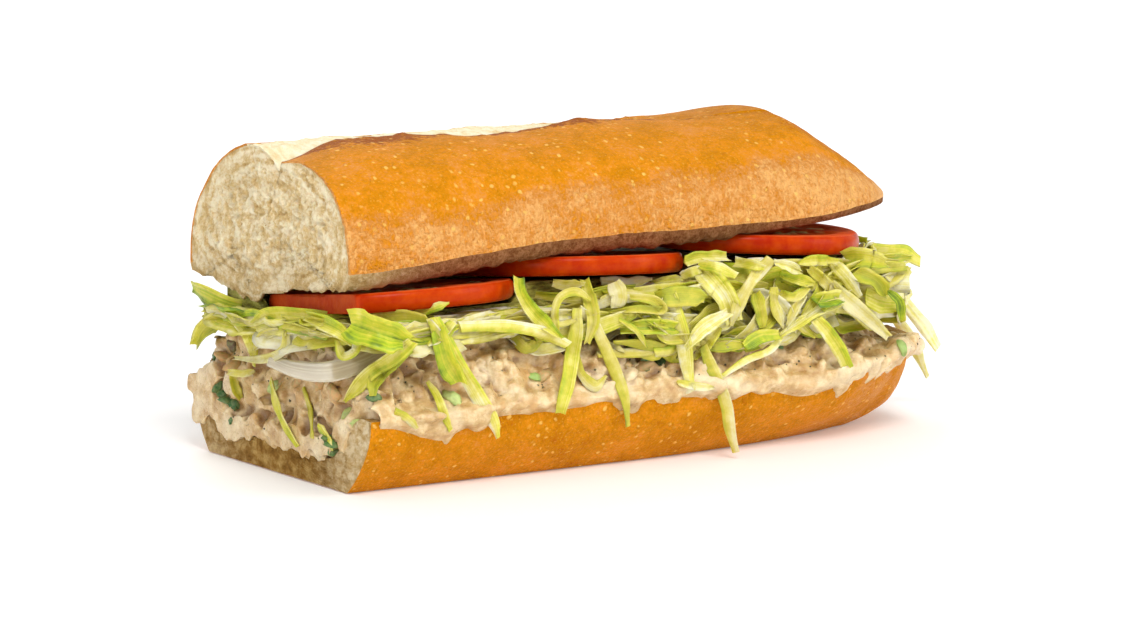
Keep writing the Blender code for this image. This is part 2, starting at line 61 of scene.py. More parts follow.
# Upper half of the roll
UPPER_END_X = 0.0730
NOSE_START_X = 0.0430  # the crown falls from here to the rounded end
NOSE_POWER = 1.18
UPPER_HALF_WIDTH = 0.0330
UPPER_CENTRE_Y = 0.0028
CROWN_HEIGHT = 0.0667
CROWN_SWELL = 0.0013
DOME_POWER = 2.15
EAR_OFFSET = -0.0062
EAR_STEP = 0.0013
EAR_LIP = 0.0009  # the split starts this far behind the ear
SPLIT_BACK = 0.0085
SPLIT_END_X = 0.0260
UPPER_HOLLOW = 0.0016
TILT = -0.070

# Fillings
FRONT_Y = -0.030
SALAD_TOP = 0.0283
SALAD_HALF_WIDTH = 0.0372
SALAD_LEAN = 0.0076
SALAD_END_FALL = 0.0062
SALAD_END_X = 0.0680
LETTUCE_HALF_WIDTH = 0.0272
LETTUCE_SWELL = 0.0040  # the heap is this much wider towards the rounded end
LETTUCE_END_X = 0.0620
OUTERMOST_Y = -0.0395  # shreds hang no further out than this
OUTERMOST_X = -0.0772
OUTERMOST_END_X = 0.0660
TOMATO_RADIUS = 0.0252
TOMATO_THICKNESS = 0.0039
ONION_THICKNESS = 0.0013
SALAD_VOXEL = 0.00055
SALAD_LUMPS = 520
WALL_LUMPS = 18  # over the back wall at the cut end
FLOOR_LUMPS = 58  # along the floor of the trough at the cut end
SHRED_THICKNESS = 0.0006
SHRED_INSET = 0.0010  # the shreds start this far inside the edge of the heap
HEAP_NEAR = 0.10  # the search for the heap starts this much closer to the camera than its middle
HEAP_STEP = 0.001
HEAP_STEPS = 200
FAR_OUT = 0.12  # further from the middle than every surface

# Centre x, centre y, underside at the front rim, rise per metre of X and of Y
TOMATOES = {
    "tomato_1": (-0.0540, -0.0095, 0.0357, 0.006, -0.115),
    "tomato_2": (-0.0105, -0.0085, 0.0390, -0.045, -0.100),
    "tomato_3": (0.0345, -0.0080, 0.0399, -0.062, -0.010),
}

# Onion strips on the front of the salad: width, then the photograph's pixels along the strip
ONIONS = {
    "onion_1": (0.0038, ((271, 360), (295, 369), (325, 372), (355, 365), (385, 352), (410, 345))),
    "onion_2": (0.0044, ((598, 342), (622, 322), (648, 320), (672, 340))),
}

# Shreds that stand out past the rounded end: y, width, greenness, then (x, z) along the shred
END_SHREDS = (
    (-0.010, 0.0046, 0.40, ((0.056, 0.0340), (0.066, 0.0352), (0.074, 0.0345), (0.0813, 0.0317))),
    (-0.012, 0.0042, 0.15, ((0.056, 0.0310), (0.070, 0.0270), (0.078, 0.0200), (0.0844, 0.0128))),
    (-0.006, 0.0036, 0.10, ((0.056, 0.0290), (0.071, 0.0255), (0.0815, 0.0150), (0.0868, 0.0059))),
)

# Shreds that stand out of the bed at the cut end: width, greenness, then (x, y, z) along the shred
CUT_SHREDS = (
    (0.0042, 0.70, (
        (-0.069, 0.010, 0.0305), (-0.0745, 0.019, 0.0318),
        (-0.0765, 0.0265, 0.0335), (-0.0765, 0.0316, 0.0345),
    )),
    (0.0040, 0.60, (
        (-0.069, 0.008, 0.0290), (-0.0750, 0.018, 0.0290),
        (-0.0768, 0.0250, 0.0265), (-0.0768, 0.0297, 0.0225),
    )),
    (0.0044, 0.40, (
        (-0.068, -0.020, 0.0315), (-0.0745, -0.012, 0.0330),
        (-0.0770, -0.003, 0.0322), (-0.0772, 0.0050, 0.0300),
    )),
)

# Camera of the photograph: distances in metres about a point above the origin, lens and sensor in millimetres
CAMERA_TARGET = Vector((0.0, 0.0, 0.040))
CAMERA_AZIMUTH = math.radians(-33.096)
CAMERA_ELEVATION = math.radians(8.182)
CAMERA_DISTANCE = 0.900
CAMERA_RIGHT = -0.004818
CAMERA_UP = -0.012585
CAMERA_LENS = 136.66
SENSOR_WIDTH = 36.0
PHOTO_WIDTH, PHOTO_HEIGHT = 1125, 619

# Shreds as the photograph shows them: width in metres, greenness at both ends, then pixels along the shred
SEEN_SHREDS = {
    "left_tip": (0.0028, 0.50, 0.35, ((224, 307), (236, 319), (247, 335), (253, 351), (254, 366))),
    "left_pale": (0.0032, 0.15, 0.30, ((207, 310), (221, 310), (238, 320))),
    # Its dark green is painted shade: this leaf lies in shadow.
    "left_stem": (0.0018, 0.80, 0.80, ((235, 316), (248, 313), (261, 313))),
    "left_loop": (0.0026, 0.10, 0.20, ((280, 330), (264, 336), (256, 349))),
    "left_arch": (0.0022, 0.15, 0.10, ((286, 330), (286, 346), (276, 356), (259, 360), (236, 359))),
    "left_lower": (0.0018, 0.25, 0.30, ((230, 372), (243, 373), (254, 370))),
    "left_hanging": (0.0024, 0.45, 0.60, ((234, 373), (235, 387), (240, 398))),
    "under_tomato_1a": (0.0040, 0.55, 0.45, ((286, 322), (306, 324), (330, 322))),
    "under_tomato_1b": (0.0034, 0.35, 0.50, ((300, 334), (318, 330), (336, 334))),
    "fold_left": (0.0034, 0.60, 0.45, ((310, 317), (324, 322), (340, 330), (355, 342))),
    "fold_left_drop": (0.0024, 0.40, 0.25, ((337, 341), (343, 356), (355, 351), (358, 339))),
    "broad_leaf": (0.0080, 0.62, 0.68, ((352, 324), (376, 332), (402, 340))),
    "broad_leaf_top": (0.0042, 0.58, 0.66, ((362, 325), (396, 319), (428, 320))),
    "frill": (0.0022, 0.55, 0.50, ((412, 316), (431, 309), (449, 303))),
    "frill_low": (0.0026, 0.40, 0.45, ((452, 322), (440, 336), (428, 344))),
    "diagonal_dark": (0.0038, 0.70, 0.68, ((409, 349), (388, 366), (375, 381), (373, 396))),
    "diagonal_left": (0.0038, 0.50, 0.45, ((412, 342), (393, 358), (371, 372), (355, 389), (345, 400))),
    "thin_hanging": (0.0019, 0.35, 0.50, ((428, 382), (438, 397), (445, 416), (451, 430))),
    "curl_low": (0.0020, 0.55, 0.15, ((395, 411), (407, 418), (417, 428))),
    "hanging_1_leaf": (0.0052, 0.72, 0.62, ((438, 328), (447, 359), (459, 381))),
    "hanging_1": (0.0040, 0.50, 0.22, (
        (433, 318), (444, 340), (456, 361), (470, 383), (483, 405), (494, 424), (498, 438),
    )),
    "frill_middle": (0.0024, 0.35, 0.45, ((430, 321), (442, 337), (456, 326))),
    "crumple": (0.0030, 0.50, 0.60, ((514, 337), (526, 348), (541, 341))),
    "crossing": (0.0031, 0.35, 0.25, (
        (460, 327), (482, 326), (507, 326), (537, 331), (554, 338), (568, 345),
    )),
    "pointed_leaf": (0.0034, 0.70, 0.50, ((519, 279), (521, 293), (532, 311), (547, 326), (561, 338))),
    "arc": (0.0020, 0.35, 0.45, ((557, 331), (555, 312), (561, 297), (576, 292), (590, 300))),
    "upright": (0.0034, 0.50, 0.45, ((585, 281), (590, 302), (593, 321), (587, 342))),
    "yellow_curl": (0.0026, 0.40, 0.30, ((576, 354), (581, 373), (595, 386), (606, 376))),
    "hanging_2": (0.0036, 0.35, 0.60, (
        (577, 309), (576, 330), (572, 355), (568, 381), (563, 400), (560, 412),
    )),
    "hanging_3": (0.0030, 0.08, 0.62, (
        (579, 310), (592, 321), (604, 345), (616, 373), (625, 399), (628, 426),
    )),
    "white_thread": (0.0013, 0.10, 0.10, ((602, 340), (613, 345), (625, 352))),
    "rib": (0.0029, 0.00, 0.02, ((601, 281), (626, 283), (652, 279))),
    "rib_stub": (0.0040, 0.00, 0.05, ((614, 283), (619, 296), (616, 308))),
    "under_tomato_2": (0.0024, 0.50, 0.60, ((630, 297), (652, 300), (662, 310), (637, 309), (609, 312))),
    "thread": (0.0014, 0.55, 0.55, ((619, 319), (637, 331), (647, 347))),
    "behind_yellow": (0.0048, 0.68, 0.60, ((655, 298), (686, 296), (704, 298))),
    "long_right": (0.0038, 0.35, 0.22, ((668, 288), (676, 312), (683, 338), (687, 366), (691, 392))),
    "short_drop": (0.0026, 0.40, 0.30, ((719, 327), (710, 340), (694, 360))),
    "diagonal_pale": (0.0036, 0.10, 0.20, ((727, 313), (703, 328), (686, 347))),
    "folded_leaf": (0.0056, 0.45, 0.25, ((698, 266), (712, 281), (725, 298), (732, 320))),
    "folded_top": (0.0030, 0.55, 0.35, ((699, 264), (717, 268), (736, 276))),
    "tooth_1": (0.0032, 0.55, 0.66, ((756, 294), (761, 312), (763, 328))),
    "tooth_2": (0.0025, 0.45, 0.25, ((774, 288), (774, 303), (783, 328))),
    "tooth_3": (0.0022, 0.20, 0.20, ((803, 296), (794, 310), (786, 327))),
    "ribbed": (0.0034, 0.20, 0.25, ((771, 259), (753, 279), (739, 303), (731, 326))),
    "top_curl": (0.0026, 0.45, 0.55, ((779, 294), (794, 297), (808, 288))),
    "upper_middle": (0.0030, 0.60, 0.45, ((780, 274), (798, 279), (812, 283))),
    "upper_right": (0.0028, 0.35, 0.25, ((810, 269), (825, 281), (834, 290))),
    "bright_leaf": (0.0044, 0.75, 0.62, ((811, 298), (824, 300), (838, 299))),
    "low_leaf": (0.0034, 0.70, 0.60, ((744, 347), (760, 337), (778, 335))),
    "pale_diagonal": (0.0026, 0.20, 0.35, ((843, 301), (820, 310), (798, 324), (780, 336))),
    "thin_pale": (0.0019, 0.30, 0.30, ((784, 333), (770, 350), (746, 360), (722, 376))),
    "pale_low": (0.0020, 0.25, 0.25, ((677, 382), (694, 386), (715, 388))),
    "end_broad": (0.0048, 0.62, 0.55, ((846, 258), (866, 259), (884, 263))),
    "end_green": (0.0040, 0.62, 0.70, ((854, 272), (875, 281), (885, 295))),
    "top_right": (0.0034, 0.30, 0.20, ((832, 262), (846, 277), (860, 296))),
    "end_yellow": (0.0048, 0.48, 0.52, ((865, 296), (882, 303), (898, 304))),
    "end_dark": (0.0024, 0.92, 0.80, ((888, 291), (899, 302), (901, 319))),
    "hanging_green": (0.0038, 0.35, 0.60, ((815, 318), (827, 331), (839, 348), (849, 368))),
    "white_right": (0.0038, 0.12, 0.08, ((830, 284), (849, 302), (870, 319), (888, 336))),
    "under_slice_1": (0.0028, 0.30, 0.40, ((736, 262), (750, 264), (764, 267))),
    "under_slice_2": (0.0026, 0.12, 0.20, ((774, 262), (788, 265), (800, 270))),
    "under_slice_3": (0.0030, 0.50, 0.42, ((798, 263), (816, 261), (838, 262))),
    "under_slice_4": (0.0026, 0.25, 0.35, ((682, 276), (692, 272), (701, 270))),
    "gap_leaf": (0.0030, 0.50, 0.35, ((684, 262), (697, 258), (712, 257), (726, 258))),
    "under_slice_5": (0.0026, 0.30, 0.20, ((553, 283), (568, 286), (584, 284))),
    "under_slice_6": (0.0024, 0.45, 0.30, ((654, 283), (668, 281), (682, 279))),
    "to_floor": (0.0030, 0.55, 0.12, (
        (703, 346), (710, 364), (720, 386), (727, 407), (730, 429), (736, 452),
    )),
}

# Bits in the salad as the photograph shows them: half sizes in metres, colour, then the pixel of each bit
SEEN_BITS = {
    "herb_left": ((0.0019, 0.0010, 0.0003), (0.03, 0.13, 0.03), (
        (217, 388), (222, 394), (226, 401), (233, 403), (237, 406),
    )),
    "herb_low": ((0.0019, 0.0009, 0.0003), (0.05, 0.15, 0.02), ((331, 444), (336, 452), (327, 438))),
    "herb_middle": ((0.0020, 0.0011, 0.0003), (0.02, 0.10, 0.02), (
        (631, 345), (640, 350), (649, 356), (660, 361),
    )),
    "herb_right": ((0.0008, 0.0006, 0.0003), (0.04, 0.16, 0.03), ((661, 360), (780, 347), (361, 424))),
    "celery_skin": ((0.0012, 0.0005, 0.0005), (0.03, 0.17, 0.01), (
        (850, 311), (856, 317), (857, 325), (852, 332),
    )),
    "celery_flesh": ((0.0030, 0.0026, 0.0010), (0.50, 0.50, 0.20), ((841, 320),)),
    # A tuna chunk coloured dark brown as painted shade.
    "shaded_tuna_chunk": ((0.0021, 0.0017, 0.0010), (0.10, 0.045, 0.015), ((233, 344),)),
    "tan_flake": ((0.0026, 0.0014, 0.0008), (0.62, 0.34, 0.13), (
        (226, 358), (234, 366), (335, 392), (300, 380), (322, 382),
    )),
    "celery_pale": ((0.0024, 0.0012, 0.0006), (0.55, 0.66, 0.22), (
        (348, 414), (359, 425), (452, 398), (275, 388),
    )),
}

# Soft square lights: place, width in metres, power in watts
LIGHTS = {
    "key": ((-0.30, -0.80, 0.95), 0.45, 8.5),
    "front": ((0.75, -0.85, 0.48), 0.70, 5.8),
    "back": ((0.20, 0.90, 0.80), 0.60, 4.0),
    "left": ((-0.95, -0.30, 0.14), 0.50, 1.8),
}

IN_THE_HEAP = ("celery_skin", "celery_flesh")  # these bits show between the shreds

# Streaks of leaf caught in the cut face of the salad: width, greenness, then pixels
SEEN_STREAKS = {
    "streak_left": (0.0024, 0.50, ((272, 380), (277, 400), (284, 421), (299, 446))),
    "streak_right": (0.0017, 0.42, ((303, 388), (310, 412), (312, 438))),
    "streak_low": (0.0018, 0.60, ((318, 425), (326, 436), (332, 450))),
}


def clamp(value):
    """The value, kept between 0 and 1."""
    return min(1.0, max(0.0, value))


def smoothstep(low, high, value):
    """0 below low, 1 above high, and a smooth rise between them."""
    t = clamp((value - low) / (high - low))
    return t * t * (3.0 - 2.0 * t)


def taper(x, start, end, power):
    """1 up to start, then a rounded fall to 0 at end."""
    t = clamp((x - start) / (end - start))
    return max(0.0, 1.0 - t**power) ** (1.0 / power)


def hump(x, centre, width):
    """1 at the centre, and a smooth fall to 0 on both sides."""
    return math.exp(-(((x - centre) / width) ** 2))


def eased(start, end, i, count, power):
    """Station i of a row from start to end that gets closer together towards its end."""
    return start + (end - start) * math.sin(math.pi / 2 * i / count) ** power


def relief(point, size, seed=0.0, octaves=2):
    """Smooth noise from about -1 to 1, with bumps of the given size."""
    shifted = Vector(point) / size + Vector((seed, seed * 1.7, seed * 2.3))
    return noise.fractal(shifted, 1.0, 2.0, octaves)


def pores(point, size, seed):
    """1 in the middle of scattered small holes, 0 between them."""
    shifted = Vector(point) / size + Vector((seed, seed * 1.3, 0.0))
    near = noise.voronoi(shifted)[0][0]
    present = smoothstep(-0.1, 0.25, noise.noise(shifted * 0.45))
    return present * (1 - smoothstep(0.15, 0.5, near))


def camera_frame():
    """The camera's place and its right, up and backward directions."""
    a, e = CAMERA_AZIMUTH, CAMERA_ELEVATION
    back = Vector((math.sin(a) * math.cos(e), -math.cos(a) * math.cos(e), math.sin(e)))
    right = Vector((math.cos(a), math.sin(a), 0.0))
    up = back.cross(right)
    return CAMERA_TARGET + back * CAMERA_DISTANCE + right * CAMERA_RIGHT + up * CAMERA_UP, right, up, back


def sight(pixel):
    """The camera's place, and the direction in which it sees a pixel of the photograph."""
    spot, right, up, back = camera_frame()
    focal = CAMERA_LENS / SENSOR_WIDTH * PHOTO_WIDTH
    across, above = pixel[0] - PHOTO_WIDTH / 2, PHOTO_HEIGHT / 2 - pixel[1]
    return spot, (right * (across / focal) + up * (above / focal) - back).normalized()


def billow(point, size, seed):
    """Rounded lumps with sharp creases between them: 0 in a crease, about 1 on a lump."""
    shifted = Vector(point) / size + Vector((seed, seed * 1.1, seed * 0.7))
    return min(1.0, 2.2 * abs(noise.noise(shifted)))


class Soup:
    """Points, faces, a colour for each point and a material slot for each face, gathered into one mesh."""

    def __init__(self):
        self.points = []
        self.faces = []
        self.looks = []
        self.slots = []

    def add(self, points, faces, looks, slot=0):
        """Adds points and faces, with a look for each point."""
        first = len(self.points)
        self.points += points
        self.looks += looks
        self.faces += [tuple(first + i for i in face) for face in faces]
        self.slots += [slot] * len(faces)

    def grid(self, rows, looks, slot=0, closed=True, flip=False):
        """Adds rows of equal length as a sheet, joined round if closed."""
        count = len(rows[0])
        faces = []
        for r in range(len(rows) - 1):
            for i in range(count if closed else count - 1):
                j = (i + 1) % count
                face = (r * count + i, r * count + j, (r + 1) * count + j, (r + 1) * count + i)
                faces.append(face[::-1] if flip else face)
        self.add([p for row in rows for p in row], faces, [c for row in looks for c in row], slot)

    def cap(self, row, looks, slot=0, share=0.99, flip=False):
        """Closes an open end with a sheet from its edge to its middle."""
        middle = sum(row, Vector()) / len(row)
        self.grid([row, [p.lerp(middle, share) for p in row]], [looks, looks], slot, flip=flip)

    def make(self, name, materials):
        """The gathered mesh as a linked, smooth object."""
        mesh = bpy.data.meshes.new(name)
        mesh.from_pydata([tuple(p) for p in self.points], [], self.faces)
        for material in materials:
            mesh.materials.append(material)
        mesh.polygons.foreach_set("material_index", self.slots)
        paint(mesh, self.looks)
        mesh.validate()
        mesh.shade_smooth()
        obj = bpy.data.objects.new(name, mesh)
        bpy.context.scene.collection.objects.link(obj)
        return obj


def paint(mesh, looks):
    """Stores one (r, g, b) mask for each vertex."""
    layer = mesh.color_attributes.new("look", "FLOAT_COLOR", "POINT")
    layer.data.foreach_set("color", [c for look in looks for c in (*look, 1.0)])


def dress(obj, node):
    """Puts a piece in the place of a node of the frame."""
    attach(obj, "root")
    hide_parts(node)
    return obj


# Materials


def add_node(tree, kind, values=None, **settings):
    """A shader node with its settings, values and incoming links."""
    item = tree.nodes.new(kind)
    for key, value in settings.items():
        setattr(item, key, value)
    for key, value in (values or {}).items():
        if isinstance(value, bpy.types.NodeSocket):
            tree.links.new(value, item.inputs[key])
        else:
            item.inputs[key].default_value = value
    return item


def new_material(name, **constants):
    """A material, its node tree and its main shader."""
    material = bpy.data.materials.new(name)
    material.use_nodes = True
    shader = material.node_tree.nodes["Principled BSDF"]
    for key, value in constants.items():
        shader.inputs[key.replace("_", " ")].default_value = value
    return material, material.node_tree, shader


def place(tree, scale=(1, 1, 1)):
    """Position on the model, stretched by scale."""
    source = add_node(tree, "ShaderNodeTexCoord").outputs["Object"]
    return add_node(tree, "ShaderNodeMapping", {"Vector": source, "Scale": scale}).outputs[0]


def grain(tree, size, detail=3.0, roughness=0.55, vector=None):
    """Noise from 0 to 1 with features of the given size in metres."""
    values = {"Vector": vector or place(tree), "Scale": 1 / size, "Detail": detail, "Roughness": roughness}
    return add_node(tree, "ShaderNodeTexNoise", values).outputs["Fac"]


def maths(tree, operation, first, second=0.0, clamp=False):
    """One sum on two values."""
    values = {0: first, 1: second}
    return add_node(tree, "ShaderNodeMath", values, operation=operation, use_clamp=clamp).outputs[0]


def added(tree, first, second, share, clamp=False):
    """The first value plus a share of the second."""
    return maths(tree, "ADD", first, maths(tree, "MULTIPLY", second, share), clamp)


def ranged(tree, value, low, high, to_low=0.0, to_high=1.0):
    """A value moved from one range to another, smoothly and within its ends."""
    values = {"Value": value, "From Min": low, "From Max": high, "To Min": to_low, "To Max": to_high}
    return add_node(tree, "ShaderNodeMapRange", values, interpolation_type="SMOOTHSTEP").outputs[0]


def mixed(tree, factor, first, second):
    """Two colours mixed by a factor."""
    item = add_node(tree, "ShaderNodeMix", {0: factor, 6: first, 7: second}, data_type="RGBA")
    return item.outputs[2]


def ramp(tree, factor, stops):
    """A colour from a list of (position, colour)."""
    item = add_node(tree, "ShaderNodeValToRGB", {"Fac": factor})
    elements = item.color_ramp.elements
    while len(elements) < len(stops):
        elements.new(0.5)
    for element, (position, colour) in zip(elements, stops):
        element.position = position
        element.color = (*colour, 1.0)
    return item.outputs["Color"]


def masks(tree):
    """The red, green and blue masks stored on the mesh."""
    colour = add_node(tree, "ShaderNodeAttribute", attribute_name="look").outputs["Color"]
    return add_node(tree, "ShaderNodeSeparateColor", {"Color": colour}).outputs


def bump(tree, shader, height, distance, strength=1.0):
    """Fine relief on the shader from a height."""
    values = {"Height": height, "Distance": distance, "Strength": strength}
    tree.links.new(add_node(tree, "ShaderNodeBump", values).outputs[0], shader.inputs["Normal"])


def crust_material():
    """Golden crust: red is bake, green the cream split, blue the dark ragged ear."""
    material, tree, shader = new_material("crust", Roughness=0.50, Specular_IOR_Level=0.035)
    red, green, blue = masks(tree)[:3]
    pale_zone = ranged(tree, red, 0.40, 0.20, 0.30, 1.0)
    streak = ranged(tree, grain(tree, 0.0009, 3, 0.6, place(tree, (1.15, 1.0, 0.80))), 0.3, 0.7, -0.5, 0.5)
    streak = maths(tree, "MULTIPLY", streak, pale_zone)
    patch = grain(tree, 0.009, 3, 0.6)
    speck = grain(tree, 0.0006, 2, 0.5)
    bake = maths(tree, "ADD", red, ranged(tree, patch, 0.3, 0.7, -0.08, 0.10))
    bake = added(tree, bake, streak, 0.13)
    bake = maths(tree, "ADD", bake, ranged(tree, speck, 0.3, 0.7, -0.06, 0.06))
    bake = maths(tree, "ADD", bake, ranged(tree, grain(tree, 0.0020, 4, 0.65), 0.3, 0.7, -0.08, 0.08))
    stops = (
        (0.0, (0.82, 0.42, 0.135)),
        (0.20, (0.68, 0.265, 0.050)),
        (0.34, (0.67, 0.235, 0.006)),
        (0.50, (0.54, 0.200, 0.001)),
        (0.72, (0.46, 0.115, 0.002)),
        (1.0, (0.16, 0.03, 0.003)),
    )
    crust = ramp(tree, bake, stops)
    values = {"Vector": place(tree), "Scale": 500.0, "Detail": 2.0}
    warped = add_node(tree, "ShaderNodeTexNoise", values).outputs["Color"]
    warped = add_node(tree, "ShaderNodeVectorMath", {0: warped, 1: (0.0012,) * 3}, operation="MULTIPLY")
    values = {0: warped.outputs[0], 1: place(tree)}
    warped = add_node(tree, "ShaderNodeVectorMath", values, operation="ADD").outputs[0]
    large = add_node(tree, "ShaderNodeTexVoronoi", {"Vector": warped, "Scale": 520.0})
    small = add_node(tree, "ShaderNodeTexVoronoi", {"Vector": warped, "Scale": 1250.0})
    chosen = add_node(tree, "ShaderNodeSeparateColor", {"Color": large.outputs["Color"]}).outputs[0]
    blister = ranged(tree, large.outputs["Distance"], 0.32, 0.12)
    blister = maths(tree, "MULTIPLY", blister, ranged(tree, chosen, 0.35, 0.95))
    tiny = ranged(tree, small.outputs["Distance"], 0.30, 0.10)
    pale = added(tree, maths(tree, "MULTIPLY", blister, 0.75), tiny, 0.24, clamp=True)
    wander = ranged(tree, grain(tree, 0.0016, 4, 0.65), 0.25, 0.75, -0.42, 0.42)
    scorch = ranged(tree, maths(tree, "ADD", blue, wander), 0.30, 0.80)
    crust = mixed(tree, maths(tree, "MULTIPLY", scorch, 0.85), crust, (0.27, 0.055, 0.001, 1))
    crust = mixed(tree, pale, crust, (0.95, 0.58, 0.14, 1))
    torn = grain(tree, 0.0030, 5, 0.7, place(tree, (1.5, 0.6, 1.0)))
    cream = ramp(
        tree, torn, ((0.25, (0.74, 0.50, 0.19)), (0.50, (0.90, 0.79, 0.52)), (0.72, (0.96, 0.91, 0.74)))
    )
    split = ranged(tree, maths(tree, "ADD", green, ranged(tree, torn, 0.3, 0.7, -0.2, 0.2)), 0.42, 0.58)
    tree.links.new(mixed(tree, split, crust, cream), shader.inputs["Base Color"])
    height = added(tree, maths(tree, "MULTIPLY", blister, 0.35), speck, 0.7)
    height = maths(tree, "ADD", height, streak)
    bump(tree, shader, height, 0.0006, 0.9)
    rough = added(tree, ranged(tree, patch, 0.3, 0.7, 0.38, 0.50), split, 0.35)
    tree.links.new(rough, shader.inputs["Roughness"])
    return material


def crumb_material():
    """Cream crumb: red deepens it to damp tan, green is the pale of the wisps, blue is painted shade on the
    underside.
    """
    material, tree, shader = new_material(
        "crumb",
        Roughness=0.90,
        Specular_IOR_Level=0.05,
        Subsurface_Weight=0.15,
        Subsurface_Radius=(0.9, 0.6, 0.35),
        Subsurface_Scale=0.002,
    )
    red, green, blue = masks(tree)[:3]
    wisp = grain(tree, 0.0016, 6, 0.70)
    fine = grain(tree, 0.0005, 3, 0.65)
    tone = added(tree, maths(tree, "MULTIPLY", wisp, 0.45), fine, 0.25)
    tone = added(tree, tone, green, 0.30)
    fresh = ramp(
        tree, tone, ((0.32, (0.44, 0.25, 0.07)), (0.45, (0.73, 0.53, 0.25)), (0.58, (0.95, 0.83, 0.58)))
    )
    damp = ramp(
        tree, tone, ((0.30, (0.13, 0.055, 0.009)), (0.48, (0.30, 0.155, 0.035)), (0.66, (0.55, 0.36, 0.12)))
    )
    # Painted shade: a dark reddish-brown for the underside, which lies in shadow under the roll.
    underside_shade = ramp(
        tree, tone, ((0.25, (0.05, 0.010, 0.002)), (0.42, (0.16, 0.045, 0.012)), (0.60, (0.42, 0.18, 0.07)))
    )
    crumb = mixed(tree, blue, mixed(tree, red, fresh, damp), underside_shade)
    tree.links.new(crumb, shader.inputs["Base Color"])
    bump(tree, shader, tone, 0.0016, 1.0)
    return material


def salad_material():
    """Creamy shredded salad: red is painted shade in the hollows, green is tan flakes, blue is pale dressing.
    """
    material, tree, shader = new_material(
        "tuna_salad",
        Roughness=0.32,
        Subsurface_Weight=0.20,
        Subsurface_Radius=(1.0, 0.6, 0.35),
        Subsurface_Scale=0.0015,
        Coat_Weight=0.20,
        Coat_Roughness=0.20,
    )
    red, green, blue = masks(tree)[:3]
    flake = grain(tree, 0.0030, 4, 0.6)
    fibre = grain(tree, 0.0009, 3, 0.6, place(tree, (0.6, 1.0, 1.3)))
    base = ramp(
        tree, flake, ((0.30, (0.44, 0.24, 0.075)), (0.47, (0.60, 0.395, 0.165)), (0.64, (0.80, 0.62, 0.35)))
    )
    base = mixed(tree, maths(tree, "MULTIPLY", green, 0.55), base, (0.62, 0.35, 0.12, 1))
    base = mixed(tree, maths(tree, "MULTIPLY", blue, 0.50), base, (0.86, 0.74, 0.50, 1))
    # Painted shade: the hollows are darkened towards brown.
    base = mixed(tree, maths(tree, "MULTIPLY", red, 0.85), base, (0.27, 0.13, 0.04, 1))
    tree.links.new(base, shader.inputs["Base Color"])
    tree.links.new(ranged(tree, fibre, 0.3, 0.7, 0.24, 0.46), shader.inputs["Roughness"])
    bump(tree, shader, added(tree, fibre, flake, 0.6), 0.0006, 0.6)
    return material


def lettuce_material():
    """Crisp leaf: red is greenness, green a number for each shred, blue the place across it."""
    material, tree, shader = new_material(
        "lettuce",
        Roughness=0.38,
        Subsurface_Weight=0.35,
        Subsurface_Radius=(0.9, 1.0, 0.25),
        Subsurface_Scale=0.0020,
        Specular_IOR_Level=0.35,
    )
    red, green, blue = masks(tree)[:3]
    along = add_node(tree, "ShaderNodeCombineXYZ", {0: blue, 1: green}).outputs[0]
    lines = grain(tree, 0.09, 3, 0.6, along)
    mottle = grain(tree, 0.0028, 3, 0.6)
    tone = maths(tree, "ADD", red, ranged(tree, lines, 0.3, 0.7, -0.14, 0.14))
    tone = maths(tree, "ADD", tone, ranged(tree, mottle, 0.3, 0.7, -0.12, 0.12))
    stops = (
        (0.0, (0.85, 0.82, 0.52)),
        (0.25, (0.78, 0.71, 0.21)),
        (0.5, (0.64, 0.60, 0.050)),
        (0.75, (0.36, 0.48, 0.016)),
        (1.0, (0.05, 0.17, 0.009)),
    )
    olive = ranged(tree, green, 0.35, 1.0, 0.02, 0.42)
    olive = maths(tree, "ADD", olive, ranged(tree, mottle, 0.4, 0.7, 0.0, 0.15))
    leaf = mixed(tree, olive, ramp(tree, tone, stops), (0.46, 0.35, 0.05, 1))
    tree.links.new(leaf, shader.inputs["Base Color"])
    bump(tree, shader, maths(tree, "ADD", lines, mottle), 0.0003, 0.7)
    return material


def shade_material():
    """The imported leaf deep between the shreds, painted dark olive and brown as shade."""
    material, tree, shader = new_material("lettuce_painted_shade", Roughness=0.5, Specular_IOR_Level=0.3)
    folds = grain(tree, 0.0026, 4, 0.65, place(tree, (0.5, 0.5, 1.6)))
    # Painted shade: dark olive and brown stops.
    stops = ((0.32, (0.14, 0.11, 0.015)), (0.47, (0.38, 0.35, 0.05)), (0.62, (0.66, 0.62, 0.16)))
    tree.links.new(ramp(tree, folds, stops), shader.inputs["Base Color"])
    bump(tree, shader, folds, 0.0020, 1.0)
    return material


def tomato_material():
    """Tomato: red is flesh against skin, and on the flat cut face a brighter tint that is painted light;
    green is gel, blue is seeds.
    """
    material, tree, shader = new_material(
        "tomato",
        Subsurface_Weight=0.25,
        Subsurface_Radius=(1.0, 0.25, 0.1),
        Subsurface_Scale=0.003,
        Specular_IOR_Level=0.07,
    )
    red, green, blue = masks(tree)[:3]
    mottle = grain(tree, 0.0035, 3, 0.6)
    skin = ramp(tree, mottle, ((0.3, (0.40, 0.018, 0.001)), (0.7, (0.53, 0.055, 0.001))))
    flesh = ramp(tree, mottle, ((0.3, (0.66, 0.055, 0.008)), (0.7, (0.80, 0.13, 0.025))))
    gel = ramp(tree, mottle, ((0.3, (0.62, 0.05, 0.006)), (0.7, (0.74, 0.14, 0.015))))
    colour = mixed(tree, red, skin, flesh)
    colour = mixed(tree, green, colour, gel)
    colour = mixed(tree, blue, colour, (0.80, 0.55, 0.22, 1))
    tree.links.new(colour, shader.inputs["Base Color"])
    tree.links.new(ranged(tree, red, 0.0, 1.0, 0.24, 0.60), shader.inputs["Roughness"])
    fine = grain(tree, 0.0012, 3, 0.6)
    bump(tree, shader, maths(tree, "MULTIPLY", fine, red), 0.0004, 0.6)
    return material


